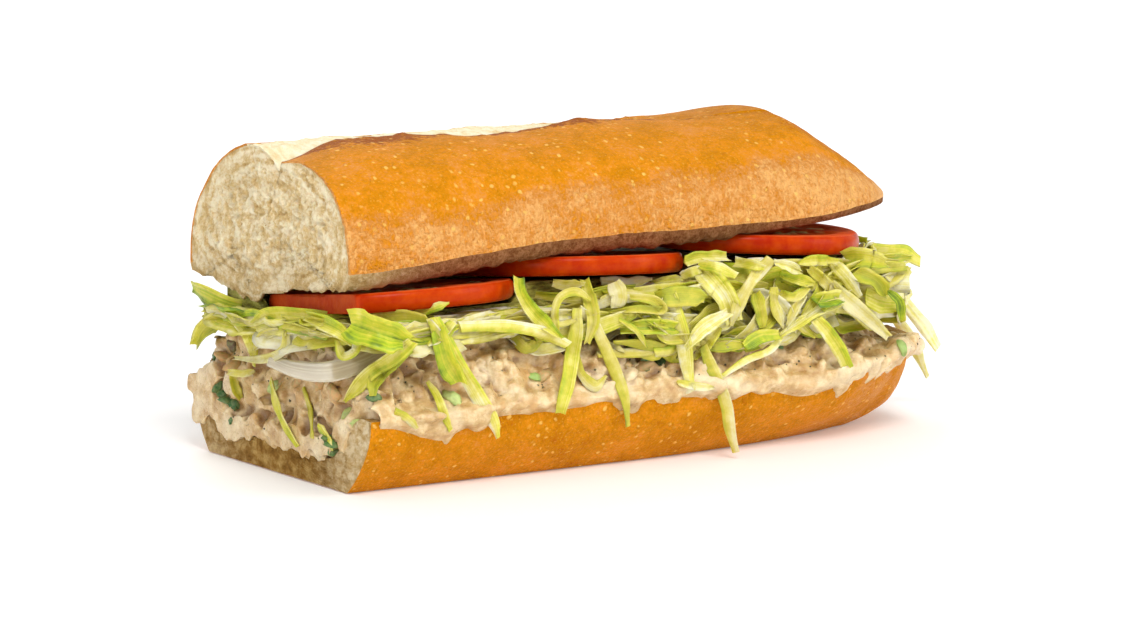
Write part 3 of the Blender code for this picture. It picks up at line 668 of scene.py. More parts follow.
def onion_material():
    """Translucent onion with faint lines: green is a number for each strip, blue the place across it."""
    material, tree, shader = new_material(
        "onion",
        Roughness=0.25,
        Subsurface_Weight=0.4,
        Subsurface_Radius=(1.0, 0.95, 0.8),
        Subsurface_Scale=0.003,
        Transmission_Weight=0.30,
        Specular_IOR_Level=0.25,
    )
    green, blue = masks(tree)[1:3]
    along = add_node(tree, "ShaderNodeCombineXYZ", {0: blue, 1: green}).outputs[0]
    lines = grain(tree, 0.12, 3, 0.6, along)
    colour = ramp(tree, lines, ((0.3, (0.42, 0.33, 0.17)), (0.6, (0.60, 0.50, 0.30))))
    tree.links.new(colour, shader.inputs["Base Color"])
    bump(tree, shader, lines, 0.0003, 0.5)
    return material


def speck_material():
    """Pepper, herb and celery: the stored colour itself, slightly mottled."""
    material, tree, shader = new_material(
        "bits", Roughness=0.4, Subsurface_Weight=0.1, Subsurface_Scale=0.001
    )
    colour = add_node(tree, "ShaderNodeAttribute", attribute_name="look").outputs["Color"]
    mottle = ranged(tree, grain(tree, 0.0008, 3), 0.3, 0.7, 0.0, 0.5)
    tree.links.new(mixed(tree, mottle, colour, (0.30, 0.34, 0.12, 1)), shader.inputs["Base Color"])
    bump(tree, shader, grain(tree, 0.0006), 0.0003, 0.6)
    return material


# The roll


def lower_outline(x):
    """Half width at the rim, half width of the foot, rim height and underside height at x."""
    width = LOWER_HALF_WIDTH * taper(x, 0.030, LOWER_END_X, 2.4)
    foot_share = 0.52 + 0.22 * smoothstep(0.055, 0.070, x)
    foot = max(FOOT_HALF_WIDTH * taper(x, -0.010, 0.0710, 2.0), foot_share * width)
    rim = RIM_HEIGHT + RIM_RISE_AT_END * smoothstep(0.030, 0.070, x)
    lift = TOE_LIFT * smoothstep(0.054, LOWER_END_X, x)
    return width, foot, rim, lift


def lower_outer(x, t):
    """Crust of the lower half: t runs from the front rim, under the roll, to the back rim."""
    width, foot, rim, lift = lower_outline(x)
    width = max(width, 0.0045)
    foot = min(foot, 0.75 * width)
    side = 0.36
    if side < t < 1 - side:
        y = -foot + 2 * foot * (t - side) / (1 - 2 * side)
        z = lift + 0.0002 * max(0.0, relief((x, y, 0.0), 0.006, 2.0))
        return Vector((x, y, z))
    share = 1 - t / side if t <= side else (t - 1 + side) / side
    angle = math.pi / 2 * share
    sign = -1 if t <= side else 1
    reach = width if sign < 0 else BACK_SHARE * width
    y = foot + (reach - foot) * math.sin(angle) ** 2
    z = lift + (rim - lift) * (1 - math.cos(angle))
    swell = 0.0004 * relief((x, y, z), 0.012, 3.0) * min(1.0, z / 0.004)
    fine = 0.00012 * relief((x, sign * y, z), 0.0032, 4.0) * min(1.0, z / 0.002)
    fold = 0.0009 * smoothstep(0.046, 0.062, x) * smoothstep(0.0, 0.4, share)
    crease = fold * min(0.0, math.sin((x + 0.35 * z) * 520 + 1.5 * sign) - 0.35)
    return Vector((x, sign * (y + swell + fine + crease), z))


def lower_inner(x, t):
    """Trough of the lower half, from the front rim to the back rim."""
    width, _, rim, lift = lower_outline(x)
    width = max(width, 0.0045)
    across = 2 * t - 1
    y = across * ((width if across < 0 else BACK_SHARE * width) - min(RIM_THICKNESS, 0.3 * width))
    closed = smoothstep(0.056, 0.0715, x)
    floor = lift + FLOOR_THICKNESS + (rim - lift - FLOOR_THICKNESS) * closed
    z = floor + (rim + 0.0003 - floor) * smoothstep(0.60, 1.0, abs(across))
    torn = 0.0003 * relief((x, y, z), 0.003, 4.0, 3)
    return Vector((x, y, z + torn))


def trough_floor(y):
    """Height of the trough of the lower half at its cut end."""
    return lower_inner(CUT_X, min(0.999, max(0.0, (y + 0.035) / 0.07))).z


def lower_roll(crust, crumb):
    """The lower half of the roll, with its crust, trough and cut end."""
    soup = Soup()
    stations = [eased(CUT_X, LOWER_END_X - 0.0008, i, 200, 0.9) for i in range(201)]
    across = [i / 150 for i in range(151)]
    outer, looks = [], []
    for x in stations:
        row = [lower_outer(x, t) for t in across]
        outer.append(row)
        bakes = [0.44 - 0.15 * smoothstep(0.020, 0.055, p.x) + 0.05 * relief(p, 0.012, 19.0) for p in row]
        looks.append([(bake, 0, 0) for bake in bakes])
    soup.grid(outer, looks, 0, closed=False, flip=True)
    steps = [i / 60 for i in range(61)]
    inner = [[lower_inner(x, t) for t in steps] for x in stations]
    soup.grid(inner, [[(0.6, 0, 0)] * 61 for x in stations], 1, closed=False)
    for edge in (0, -1):
        rows = [[row[edge] for row in outer], [row[edge] for row in inner]]
        soup.grid(rows, [[(0.45, 0, 0)] * len(stations)] * 2, 1, closed=False, flip=edge == 0)
    lower_cut(soup, across)
    end = [outer[-1], [lower_inner(stations[-1], t) for t in across]]
    soup.grid(end, [[(0.5, 0, 0)] * len(across)] * 2, 0, closed=False, flip=True)
    return soup.make("roll_lower", [crust, crumb])


def cut_damp(y):
    """How damp the lower cut face is: most in its middle."""
    return 1.0 - 0.60 * smoothstep(-0.012, -0.036, y) - 0.30 * smoothstep(0.006, 0.034, y)


def lower_cut(soup, across):
    """The grainy cut face of the lower half."""
    rows, looks = [], []
    steps = 16
    for k in range(steps + 1):
        share = k / steps
        row = []
        for t in across:
            p = lower_outer(CUT_X, t).lerp(lower_inner(CUT_X, t), share)
            if k:
                coarse = 0.0004 * relief(p, 0.0022, 11.0, 3) * min(1.0, 3 * share)
                p.x += coarse + 0.0003 * pores(p, 0.0016, 2.0)
            row.append(p)
        rows.append(row)
        looks.append([(cut_damp(p.y), 0.5 + 0.6 * relief(p, 0.0020, 18.0, 3), 0) for p in row])
    soup.grid(rows, looks, 1, closed=False)


def upper_base(x, across):
    """Height of the cut underside of the upper half; across is 0 at the front and 1 at the back."""
    front = 0.0420 + 0.0038 * smoothstep(CUT_X, -0.020, x) + 0.0016 * smoothstep(0.032, 0.066, x)
    fall = 0.0046 * (1 - 0.8 * smoothstep(-0.030, 0.050, x))
    return front - fall * across


def torn_flap(x, y):
    """How far the torn crumb hangs below the underside at the cut end."""
    near_cut = 1 - smoothstep(CUT_X + 0.0012, CUT_X + 0.0024, x)
    centre = hump(y, 0.008, 0.0155)
    ragged = 0.0012 * relief((0.0, y, 0.0), 0.006, 9.0) + 0.0010 * relief((x, y, 0.0), 0.0021, 9.5, 4)
    return near_cut * (0.0052 * centre + ragged * (0.3 + centre))


def hanging_crumb(x, across):
    """How far the crumb hangs below the crust along the front edge, coloured with the underside's painted
    shade.
    """
    strip = smoothstep(0.0, 0.03, across) * (1 - smoothstep(0.20, 0.40, across))
    ragged = 1 + 0.45 * relief((x, across * 0.02, 0.0), 0.0030, 27.0, 3)
    ragged += 0.35 * relief((x, across * 0.06, 0.0), 0.0014, 28.0, 2)
    return 0.0017 * ragged * strip * (1 - smoothstep(0.010, 0.040, x))


def tomato_top(x, y):
    """Height of the highest slice at a place, or 0 where there is none."""
    top = 0.0
    for centre_x, centre_y, underside, slope, tilt in TOMATOES.values():
        if math.hypot(x - centre_x, y - centre_y) < TOMATO_RADIUS + 0.0006:
            top = max(top, underside + slope * (x - centre_x) + tilt * (y - FRONT_Y) + TOMATO_THICKNESS)
    return top


def ear_line(x):
    """Offset from the centre line and extra height of the ragged ear beside the split."""
    wander = 0.0012 * math.sin(x / 0.0105 + 0.6) + 0.0006 * math.sin(x / 0.0042)
    peak = 0.0013 * hump(x, -0.004, 0.007)
    dip = -0.0011 * hump(x, -0.030, 0.011)
    sunk_at_cut = -0.0042 * (1 - smoothstep(CUT_X, CUT_X + 0.014, x))
    return EAR_OFFSET + wander, peak + dip + sunk_at_cut


def crust_swell(x, dy, z):
    """Low swellings and small blisters of the upper crust."""
    return 0.0005 * relief((x, dy, z), 0.016, 5.0) + 0.00014 * relief((x, dy, z), 0.0035, 5.5)


def upper_ring(x):
    """Section of the upper half: crust points with looks, then the crumb underside."""
    half = max(0.0040, UPPER_HALF_WIDTH * taper(x, 0.024, UPPER_END_X, 2.3))
    scale = half / UPPER_HALF_WIDTH
    dome = max(0.08, taper(x, NOSE_START_X, UPPER_END_X + 0.0003, NOSE_POWER))
    crown = CROWN_HEIGHT + CROWN_SWELL * hump(x, 0.042, 0.011)
    offset, extra = ear_line(x)
    offset = (offset + 0.0004 * relief((x, 0.0, 0.0), 0.0024, 31.0, 3)) * scale
    open_split = 1 - smoothstep(SPLIT_END_X - 0.012, SPLIT_END_X, x)
    split_width = 1.0 - 1.1 * smoothstep(-0.008, SPLIT_END_X, x)  # it narrows to a point beside the ear
    burnt = 0.0022 + 0.0068 * smoothstep(-0.072, -0.063, x) * (1 - smoothstep(-0.048, -0.036, x))
    burnt += 0.0030 * hump(x, -0.004, 0.007)

    def height(dy):
        across = (dy + half) / (2 * half)
        base = upper_base(x, across)
        rise = crown - upper_base(x, 0.6)
        arch = max(0.0, 1 - abs(dy / half) ** DOME_POWER) ** (1 / DOME_POWER)
        edge = min(0.0015, 0.1 * rise)
        return base + edge + (rise * dome - edge) * arch, arch

    def bake(dy, arch):
        edge = 0.42 + 0.13 * smoothstep(-0.060, 0.040, x)
        edge += 0.10 * relief((x, dy, arch * 0.02), 0.010, 37.0, 3)
        low = 0.15 - 0.09 * smoothstep(0.000, 0.040, x)
        tone = low + (0.37 - low) * smoothstep(edge - 0.16, edge + 0.14, arch)
        tone += 0.07 * smoothstep(0.9, 1.0, arch)
        return tone + 0.24 * smoothstep(0.025, 0.060, x) * smoothstep(0.45, 0.9, arch)

    points, looks = [], []
    front_steps, back_steps, split_steps = 84, 60, 44
    for i in range(front_steps + 1):
        share = i / front_steps
        angle = math.acos(min(1.0, abs(offset) / half)) * share
        dy = -half * math.cos(angle)
        z, arch = height(dy)
        z += extra * share**3 * dome
        swell = crust_swell(x, dy, z)
        lip = 0.0007 * max(0.0, relief((x, 0.0, 0.0), 0.0030, 33.0, 3)) * share**24 * open_split
        points.append((dy * (1 + swell / half), z + swell + lip))
        scorch = 1 - smoothstep(0.3 * burnt, 1.3 * burnt, abs(dy - offset))
        scorch *= 1 - 0.6 * smoothstep(0.0, 0.03, x)
        looks.append((bake(dy, arch), 0.0, scorch * (0.80 + 0.30 * relief((x, dy, 0.0), 0.008, 36.0))))
    back = (SPLIT_BACK + 0.0009 * relief((x, 0.0, 0.0), 0.011, 38.0, 3)) * scale
    for i in range(split_steps + 1):
        share = i / split_steps
        dy = offset + EAR_LIP * scale * open_split + (back - offset - EAR_LIP * scale * open_split) * share
        valley = EAR_STEP * open_split * (1 - share) ** 0.7
        z, arch = height(dy)
        z += extra * (1 - share) ** 2 * dome - valley
        torn = 0.0004 * relief((x, dy, 0.0), 0.007, 6.0) + 0.0003 * relief((x * 2, dy, 0.0), 0.0022, 6.5, 3)
        points.append((dy, z + torn * open_split))
        looks.append((bake(dy, arch), smoothstep(split_width + 0.06, split_width - 0.06, share), 0.0))
    for i in range(1, back_steps + 1):
        angle = math.acos(min(1.0, back / half)) * (1 - i / back_steps)
        dy = half * math.cos(angle)
        z, arch = height(dy)
        swell = crust_swell(x, dy, z)
        points.append((dy * (1 + swell / half), z + swell))
        looks.append((bake(dy, arch), 0.0, 0.25 * open_split * (1 - smoothstep(0.0, 0.05, i / back_steps))))
    crust = [Vector((x, UPPER_CENTRE_Y + dy, z)) for dy, z in points]
    inset = 0.0009 * scale
    crumb = [crust[-1]]
    under_steps = 56
    for i in range(under_steps + 1):
        dy = (half - inset) * (1 - 2 * i / under_steps)
        across = (dy + half) / (2 * half)
        bumps = 0.0005 * relief((x, dy, 0.0), 0.010, 8.0) + 0.0004 * relief((x, dy, 0.0), 0.0026, 8.5, 3)
        bumps *= min(1.0, 4 * across * (1 - across))
        hollow = UPPER_HOLLOW * scale * smoothstep(CUT_X + 0.0024, CUT_X + 0.0060, x)
        hollow *= smoothstep(0.20, 0.40, across) * smoothstep(0.0, 0.10, 1 - across)
        y = UPPER_CENTRE_Y + dy
        low = upper_base(x, across) + bumps + hollow - torn_flap(x, y) - hanging_crumb(x, across)
        crumb.append(Vector((x, y, max(low, min(upper_base(x, across), tomato_top(x, y) + 0.0004)))))
    crumb.append(crust[0])
    return crust, looks, crumb


def upper_roll(crust_look, crumb_look):
    """The upper half of the roll, with its split crust, underside and torn cut end."""
    soup = Soup()
    near = [CUT_X + 0.0004 * i for i in range(9)]
    rest = [eased(near[-1], UPPER_END_X - 0.0006, i, 225, 0.85) for i in range(1, 226)]
    crusts, looks, crumbs = zip(*(upper_ring(x) for x in near + rest))
    soup.grid(crusts, looks, 0, closed=False)
    # The underside's blue mask is painted shade, deepest away from the cut.
    under = [[(0.45, 0.4, 0.92 * smoothstep(-0.077, -0.052, x))] * len(crumbs[0]) for x in near + rest]
    soup.grid(crumbs, under, 1, closed=False)
    tip = crusts[-1] + crumbs[-1][1:-1]
    soup.cap(tip, [(0.6, 0, 0)] * len(tip), share=0.98)
    upper_cut(soup, crusts[0], looks[0], crumbs[0][1:-1])
    return soup.make("roll_upper", [crust_look, crumb_look])


def upper_cut(soup, crust, crust_looks, underside):
    """The wispy cut face of the upper half, from its outline to the middle, with a thin rim of crust."""
    middle = Vector((CUT_X, UPPER_CENTRE_Y, 0.0500))
    outline = crust + underside
    rows, looks = [], []
    steps = 80
    for k in range(steps + 1):
        share = k / steps
        row, tones = [], []
        for p in outline:
            q = p.lerp(middle, share * 0.995)
            across, above = (q.y - middle.y) / UPPER_HALF_WIDTH, (q.z - middle.z) / (CROWN_HEIGHT - middle.z)
            angle, out = math.atan2(above, across), math.hypot(across, above)
            ring = (16.0 * out + 0.7 * relief(q, 0.0060, 17.0), 3.0 * math.cos(angle), 3.0 * math.sin(angle))
            fibre = smoothstep(0.35, 0.75, out)
            wisp = fibre * relief(ring, 1.0, 16.0, 3) + (1 - fibre) * relief(q, 0.0030, 16.0, 3)
            if k:
                depth = 0.0005 * relief(q, 0.0055, 12.0, 3) + 0.0005 * relief(q, 0.0010, 13.0, 3)
                depth -= 0.0003 * wisp
                depth += 0.0010 * pores(q, 0.0022, 5.0) + 0.0009 * pores(q, 0.0012, 6.0)
                q.x += min(1.0, 2.5 * share + 0.2) * max(-0.0012, depth)
            row.append(q)
            edge = 1 - smoothstep(0.0, 0.08, share + 0.02 * wisp)
            low = smoothstep(0.0440, 0.0400, q.z)
            tones.append((0.35 * edge + 0.20 * low, 0.5 + 0.45 * wisp, 0.0))
        rows.append(row)
        looks.append(tones)
    rim_rows, count = 3, len(crust)
    rim = [[(0.12, look[1], 0.0) for look in crust_looks]] * rim_rows
    soup.grid([row[:count] for row in rows[:rim_rows]], rim, 0, closed=False, flip=True)
    bottom = [row[count - 1 :] + row[:1] for row in rows[:rim_rows]]
    tones = [tones[count - 1 :] + tones[:1] for tones in looks[:rim_rows]]
    soup.grid(bottom, tones, 1, closed=False, flip=True)
    soup.grid(rows[rim_rows - 1 :], looks[rim_rows - 1 :], 1, flip=True)


# The salad


def salad_top(x, y):
    """Height of the salad's top, lower towards the back and towards the rounded end."""
    fall = SALAD_END_FALL * smoothstep(0.026, 0.064, x)
    return SALAD_TOP - fall + TILT * (y - FRONT_Y)


def salad_drip(x):
    """How far the salad hangs below the rim: most in a lump near each end."""
    lumps = 0.0036 * hump(x, -0.059, 0.007) + 0.0026 * hump(x, 0.034, 0.013)
    return 0.0006 + lumps + 0.0007 * relief((x, 0.0, 0.0), 0.009, 12.0, 1)


def salad_ring(x):
    """Section of the salad, over the rim of the roll and down to the floor of the trough."""
    half = SALAD_HALF_WIDTH * taper(x, 0.026, SALAD_END_X, 2.3) + 0.0006
    width, _, rim, lift = lower_outline(min(x, SALAD_END_X))
    drip = rim - salad_drip(x)
    side_steps, top_steps = 24, 24
    points = []
    for sign, reach in ((-1, half), (1, BACK_SHARE * half)):
        side = []
        for i in range(side_steps + 1):
            share = i / side_steps
            top = salad_top(x, sign * 0.75 * half)
            low = drip - (0.0050 * (1 - smoothstep(-0.073, -0.060, x)) if sign > 0 else 0.0)
            z = low + (top - 0.0015 - low) * share
            bulge = 0.0016 * math.sin(math.pi * min(1.0, share * 1.5 + 0.3)) + 0.0006
            y = reach + bulge - SALAD_LEAN * share**1.3
            y += 0.0013 * relief((x, sign * y, z), 0.0085, 14.0, 3)
            if z < rim + 0.0010:
                wall = width if sign < 0 else BACK_SHARE * width
                least = wall + 0.0008 + 0.0007 * smoothstep(0.0, 0.10, share)
                y = min(max(y, least), least + 0.0005 + 1.5 * max(0.0, z - rim))
            side.append((sign * y, z))
        if sign < 0:
            points += side
            for i in range(1, top_steps):
                y = -0.86 * half + 1.72 * half * i / top_steps
                points.append((y, salad_top(x, y) + 0.0008 * relief((x, y, 0.0), 0.009, 15.0)))
        else:
            points += list(reversed(side))
    inner = 0.78 * half
    floor = lift + 0.9 * FLOOR_THICKNESS
    for i in range(16):
        points.append((inner * (1 - 2 * i / 15), floor))
    return [Vector((x, y, z)) for y, z in points]


def turned(rng):
    """A seeded rotation."""
    axis = Vector((rng.uniform(-1, 1), rng.uniform(-1, 1), rng.uniform(-1, 1))).normalized()
    return Matrix.Rotation(rng.uniform(0, 2 * math.pi), 3, axis)


def ball(subdivisions):
    """Points and faces of a unit ball."""
    bm = bmesh.new()
    bmesh.ops.create_icosphere(bm, subdivisions=subdivisions, radius=1.0)
    points = [v.co.copy() for v in bm.verts]
    faces = [tuple(v.index for v in f.verts) for f in bm.faces]
    bm.free()
    return points, faces


def lump(shape, rng, centre, sizes, roughness):
    """Points of a knobbly lump of the given half sizes."""
    turn = turned(rng)
    seed = rng.uniform(0, 90)
    result = []
    for p in shape:
        swell = 1 + roughness * relief(p, 0.9, seed, 3)
        result.append(centre + turn @ Vector((p.x * sizes[0], p.y * sizes[1], p.z * sizes[2])) * swell)
    return result


def salad_spots(rng, count):
    """Seeded points on the showing sides of the salad, with their outward directions."""
    spots = []
    rings = {}
    while len(spots) < count:
        kind = rng.random()
        x = CUT_X + 0.0015 if kind < 0.20 else rng.uniform(CUT_X + 0.001, SALAD_END_X - 0.0015)
        key = round(x, 3)
        ring = rings.setdefault(key, salad_ring(min(key, SALAD_END_X - 0.001)))
        if kind < 0.20:
            y = rng.uniform(-0.033, 0.033)
            z = rng.uniform(0.0075, salad_top(CUT_X, y) - 0.0010)
            z = min(z, salad_top(CUT_X, y) - 1.3 * max(0.0, abs(y) - 0.0250))
            if z < trough_floor(y) + 0.001:
                continue
            spots.append((Vector((CUT_X + 0.0008, y, z)), Vector((-1, 0, 0))))
            continue
        side = rng.randrange(7, 25) if rng.random() < 0.6 else rng.randrange(48, 66)
        spots.append((ring[side], Vector((0, math.copysign(1, ring[side].y), 0.3))))
    return spots


def cut_lumps(rng):
    """Seeded places and sizes of lumps on the cut face, over the back wall and along the trough's floor."""
    for i in range(WALL_LUMPS + FLOOR_LUMPS):
        over_wall = i < WALL_LUMPS
        y = rng.uniform(0.0255, 0.0335) if over_wall else rng.uniform(-0.029, 0.029)
        z = rng.uniform(0.0085, 0.0165) if over_wall else trough_floor(y) + rng.uniform(0.0010, 0.0026)
        size = rng.uniform(0.0026, 0.0040)
        yield Vector((CUT_X + 0.0008, y, z)), (size, 0.85 * size, 0.75 * size)


def salad(material):
    """Lumps and flakes melted into one body, with painted shade in the hollows, and flakes and dressing
    marked.
    """
    rng = random.Random(SEED + 1)
    soup = Soup()
    rows = [salad_ring(CUT_X + 0.0012 + (SALAD_END_X - 0.0022 - CUT_X) * i / 110) for i in range(111)]
    soup.grid(rows, [[(0, 0, 0)] * len(rows[0])] * len(rows))
    for row, flip in ((rows[0], True), (rows[-1], False)):
        soup.cap(row, [(0, 0, 0)] * len(row), share=0.999, flip=flip)
    shape, faces = ball(2)
    for centre, outward in salad_spots(rng, SALAD_LUMPS):
        size = rng.uniform(0.0018, 0.0036)
        sizes = (size, size * rng.uniform(0.45, 0.80), size * rng.uniform(0.30, 0.55))
        points = lump(shape, rng, centre - outward * size * rng.uniform(0.25, 0.60), sizes, 0.30)
        soup.add(points, faces, [(0, 0, 0)] * len(points))
    for centre, sizes in cut_lumps(rng):
        points = lump(shape, rng, centre, sizes, 0.12)
        soup.add(points, faces, [(0, 0, 0)] * len(points))
    obj = soup.make("salad", [material])
    remesh = obj.modifiers.new("melt", "REMESH")
    remesh.mode = "VOXEL"
    remesh.voxel_size = SALAD_VOXEL
    bpy.context.view_layer.update()
    mesh = bpy.data.meshes.new_from_object(obj.evaluated_get(bpy.context.evaluated_depsgraph_get()))
    obj.modifiers.clear()
    obj.data = mesh
    drop_islands(mesh)
    roughen_salad(mesh)
    return obj


def drop_islands(mesh):
    """Keeps the largest connected part of a mesh."""
    bm = bmesh.new()
    bm.from_mesh(mesh)
    left = set(bm.verts)
    parts = []
    while left:
        stack = [left.pop()]
        part = list(stack)
        while stack:
            vertex = stack.pop()
            near = [edge.other_vert(vertex) for edge in vertex.link_edges]
            fresh = [other for other in near if other in left]
            left.difference_update(fresh)
            part += fresh
            stack += fresh
        parts.append(part)
    parts.sort(key=len)
    bmesh.ops.delete(bm, geom=[vertex for part in parts[:-1] for vertex in part], context="VERTS")
    bm.to_mesh(mesh)
    bm.free()


def roughen_salad(mesh):
    """Adds lumps with creases and fine grain, and paints shade into the hollows, and tan flakes and pale
    dressing.
    """
    moves = []
    for vertex in mesh.vertices:
        p = vertex.co
        warped = p + Vector([0.0012 * relief(p, 0.006, seed) for seed in (51.0, 52.0, 53.0)])
        swell = 0.0017 * (billow(warped, 0.0090, 41.0) - 0.6) + 0.0009 * (billow(warped, 0.0042, 42.0) - 0.5)
        swell += 0.0003 * relief(p, 0.0026, 43.0, 3) - 0.0004 * pores(p, 0.0052, 3.0)
        on_lip = p.z < RIM_HEIGHT + 0.0030 and p.x > CUT_X + 0.002
        moves.append(vertex.normal * (min(0.0010, max(swell, -0.0003)) if on_lip else swell))
    for vertex, move in zip(mesh.vertices, moves):
        vertex.co += move
        vertex.co.x = max(vertex.co.x, CUT_X - 0.0006)
        vertex.co.z = max(vertex.co.z, 0.0035)
    mesh.update()
    looks = []
    # depth is the painted shade of the hollows, stored in red.
    for vertex, depth in zip(mesh.vertices, hollow_shade(mesh)):
        flake = smoothstep(0.20, 0.55, relief(vertex.co, 0.0052, 44.0, 2))
        dressing = smoothstep(0.05, 0.5, relief(vertex.co, 0.0095, 46.0, 2))
        looks.append((depth, flake, dressing))
    for layer in list(mesh.color_attributes):
        mesh.color_attributes.remove(layer)
    paint(mesh, looks)
    mesh.shade_smooth()


def hollow_shade(mesh):
    """For each vertex, 1 where the surface is deeply hollow and 0 where it isn't: the mask of the painted
    shade.
    """
    sums = [Vector() for v in mesh.vertices]
    counts = [0] * len(sums)
    for edge in mesh.edges:
        a, b = edge.vertices
        sums[a] += mesh.vertices[b].co
        sums[b] += mesh.vertices[a].co
        counts[a] += 1
        counts[b] += 1
    values = []
    for vertex, total, count in zip(mesh.vertices, sums, counts):
        values.append((total / max(1, count) - vertex.co).dot(vertex.normal))
    for _ in range(3):
        spread, counts = [0.0] * len(values), [0] * len(values)
        for edge in mesh.edges:
            a, b = edge.vertices
            spread[a] += values[b]
            spread[b] += values[a]
            counts[a] += 1
            counts[b] += 1
        values = [0.5 * v + 0.5 * s / max(1, c) for v, s, c in zip(values, spread, counts)]
    return [smoothstep(0.00002, 0.00010, v) for v in values]


def flat_bit(soup, shape, spot, normal, sizes, colour, rng):
    """A small curved flake lying on a surface."""
    turn = normal.to_track_quat("Z", "Y").to_matrix() @ Matrix.Rotation(rng.uniform(0, 6.3), 3, "Z")
    points, faces = shape
    seed = rng.uniform(0, 90)
    placed = []
    for p in points:
        bend = 0.25 * sizes[0] * (1 - p.x * p.x) - 0.1 * sizes[0]
        shaped = Vector((p.x * sizes[0], p.y * sizes[1], p.z * sizes[2] + bend))
        placed.append(spot + turn @ (shaped * (1 + 0.5 * relief(p, 0.7, seed, 3))))
    soup.add(placed, faces, [colour] * len(placed))


def salad_bits(tree, material):
    """Pepper specks, herb flakes, tan fish flakes and celery on the showing salad."""
    rng = random.Random(SEED + 2)
    soup = Soup()
    shape = ball(2)
    kinds = (
        (150, (0.00022, 0.00020, 0.00014), (0.05, 0.03, 0.015)),
        (8, (0.0013, 0.0008, 0.00030), (0.03, 0.12, 0.03)),
        (5, (0.0020, 0.0012, 0.00050), (0.34, 0.50, 0.12)),
        (16, (0.0020, 0.0010, 0.00050), (0.60, 0.35, 0.15)),
    )
    for count, sizes, colour in kinds:
        for centre, outward in salad_spots(rng, count):
            hit, normal = tree.ray_cast(centre + outward.normalized() * 0.02, -outward.normalized(), 0.03)[:2]
            if hit is not None:
                scale = rng.uniform(0.7, 1.3)
                flat_bit(soup, shape, hit, normal, [scale * size for size in sizes], colour, rng)
    for name, (sizes, colour, pixels) in SEEN_BITS.items():
        for pixel in pixels:
            spot, direction = sight(pixel)
            hit, normal = tree.ray_cast(spot, direction)[:2]
            front = heap_depth(spot, direction) if name in IN_THE_HEAP else None
            if front:
                hit, normal = spot + direction * (front + 0.0010), -direction
            if hit is not None:
                flat_bit(soup, shape, hit, normal, sizes, colour, rng)
    return soup.make("salad_bits", [material])


# Tomato and onion


def tomato_slice(name, material):
    """A slice with a smooth skin, walls, gel and seeds, flat where it meets the cut."""
    rng = random.Random(name)
    centre_x, centre_y, underside, slope, tilt = TOMATOES[name]
    sides = 160
    edge = 0.0009
    cut_x = CUT_X + 0.0030
    turns = [(rng.uniform(0.38, 0.72), rng.uniform(0, 2 * math.pi)) for i in range(34)]
    seeds = [(out * math.cos(turn), out * math.sin(turn)) for out, turn in turns]
    profile = []
    for i in range(9):
        angle = math.pi * i / 8 - math.pi / 2
        profile.append((edge * (1 - math.cos(angle)), 0.5 + 0.5 * math.sin(angle)))
    rings = [(share, 0.0) for share in (0.0, 0.3, 0.6, 0.85)]
    rings += [(1 - inset / TOMATO_RADIUS, height) for inset, height in profile]
    rings += [(1 - 0.06 - 0.94 * i / 26, 1.0) for i in range(27)]
    rows, looks = [], []
    for share, height in rings:
        row, tones = [], []
        for i in range(sides):
            angle = 2 * math.pi * i / sides
            wobble = 1 + 0.022 * math.cos(3 * angle + centre_x * 90) + 0.012 * math.cos(5 * angle)
            reach = TOMATO_RADIUS * share * wobble
            x = centre_x + reach * math.cos(angle)
            x = max(x, cut_x)
            y = centre_y + reach * math.sin(angle)
            top = height == 1.0
            wall = abs(math.cos(2.5 * angle + centre_x * 200 + 0.5 * math.sin(angle * 2)))
            chamber = smoothstep(0.30, 0.42, share) * (1 - smoothstep(0.76, 0.84, share))
            chamber *= smoothstep(0.22, 0.42, wall)
            spot = share * math.cos(angle), share * math.sin(angle)
            near = min(math.hypot(spot[0] - seed[0], spot[1] - seed[1]) for seed in seeds)
            seed = chamber * (1 - smoothstep(0.025, 0.05, near)) if top else 0.0
            dip = (0.0005 * chamber - 0.0004 * seed) if top else 0.0
            z = underside + slope * (x - centre_x) + tilt * (y - FRONT_Y) + height * TOMATO_THICKNESS - dip
            row.append(Vector((x, y, z)))
            flesh = smoothstep(0.985, 0.955, share) if height in (0.0, 1.0) else 0.0
            # Painted light: the flat face at the cut gets a brighter flesh tint, which lifts its shade under
            # the roll.
            if x == cut_x:
                flesh = 0.6
            tones.append((flesh, chamber if top else 0.0, seed))
        rows.append(row)
        looks.append(tones)
    soup = Soup()
    soup.grid(rows, looks)
    return soup.make(f"slice_{name}", [material])


def surface_tree(objects):
    """One ray-casting tree over the surfaces of all the objects."""
    points, faces = [], []
    for obj in objects:
        first = len(points)
        points += [v.co.copy() for v in obj.data.vertices]
        faces += [[first + i for i in polygon.vertices] for polygon in obj.data.polygons]
    return BVHTree.FromPolygons(points, faces)


def pushed_out(tree, point, outward, reach, clearance):
    """The point, moved outward until a patch of the given reach about it clears the surfaces."""
    across = outward.cross(Vector((0, 0, 1))).normalized() * reach
    upward = Vector((0, 0, reach))
    depth = point.dot(outward)
    for a in (-1, 0, 1):
        for b in (-1, 0, 1):
            start = point + across * a + upward * b + outward * (FAR_OUT - point.dot(outward))
            hit = tree.ray_cast(start, -outward, FAR_OUT)[0]
            if hit is not None:
                depth = max(depth, hit.dot(outward) + clearance)
    return point + outward * (depth - point.dot(outward))


def draped(tree, points, outward, width, clearance):
    """A path laid over the surfaces, that hangs on once it is past the widest of them."""
    path = []
    for point in points:
        laid = pushed_out(tree, Vector(point), outward, 0.35 * width, clearance)
        if path:
            back_in = path[-1].dot(outward) - 0.0006
            laid += outward * max(0.0, back_in - laid.dot(outward))
        path.append(laid)
    for _ in range(2):
        inner = [(a + b * 2 + c) / 4 for a, b, c in zip(path, path[1:], path[2:])]
        path = [path[0], *inner, path[-1]]
    return path


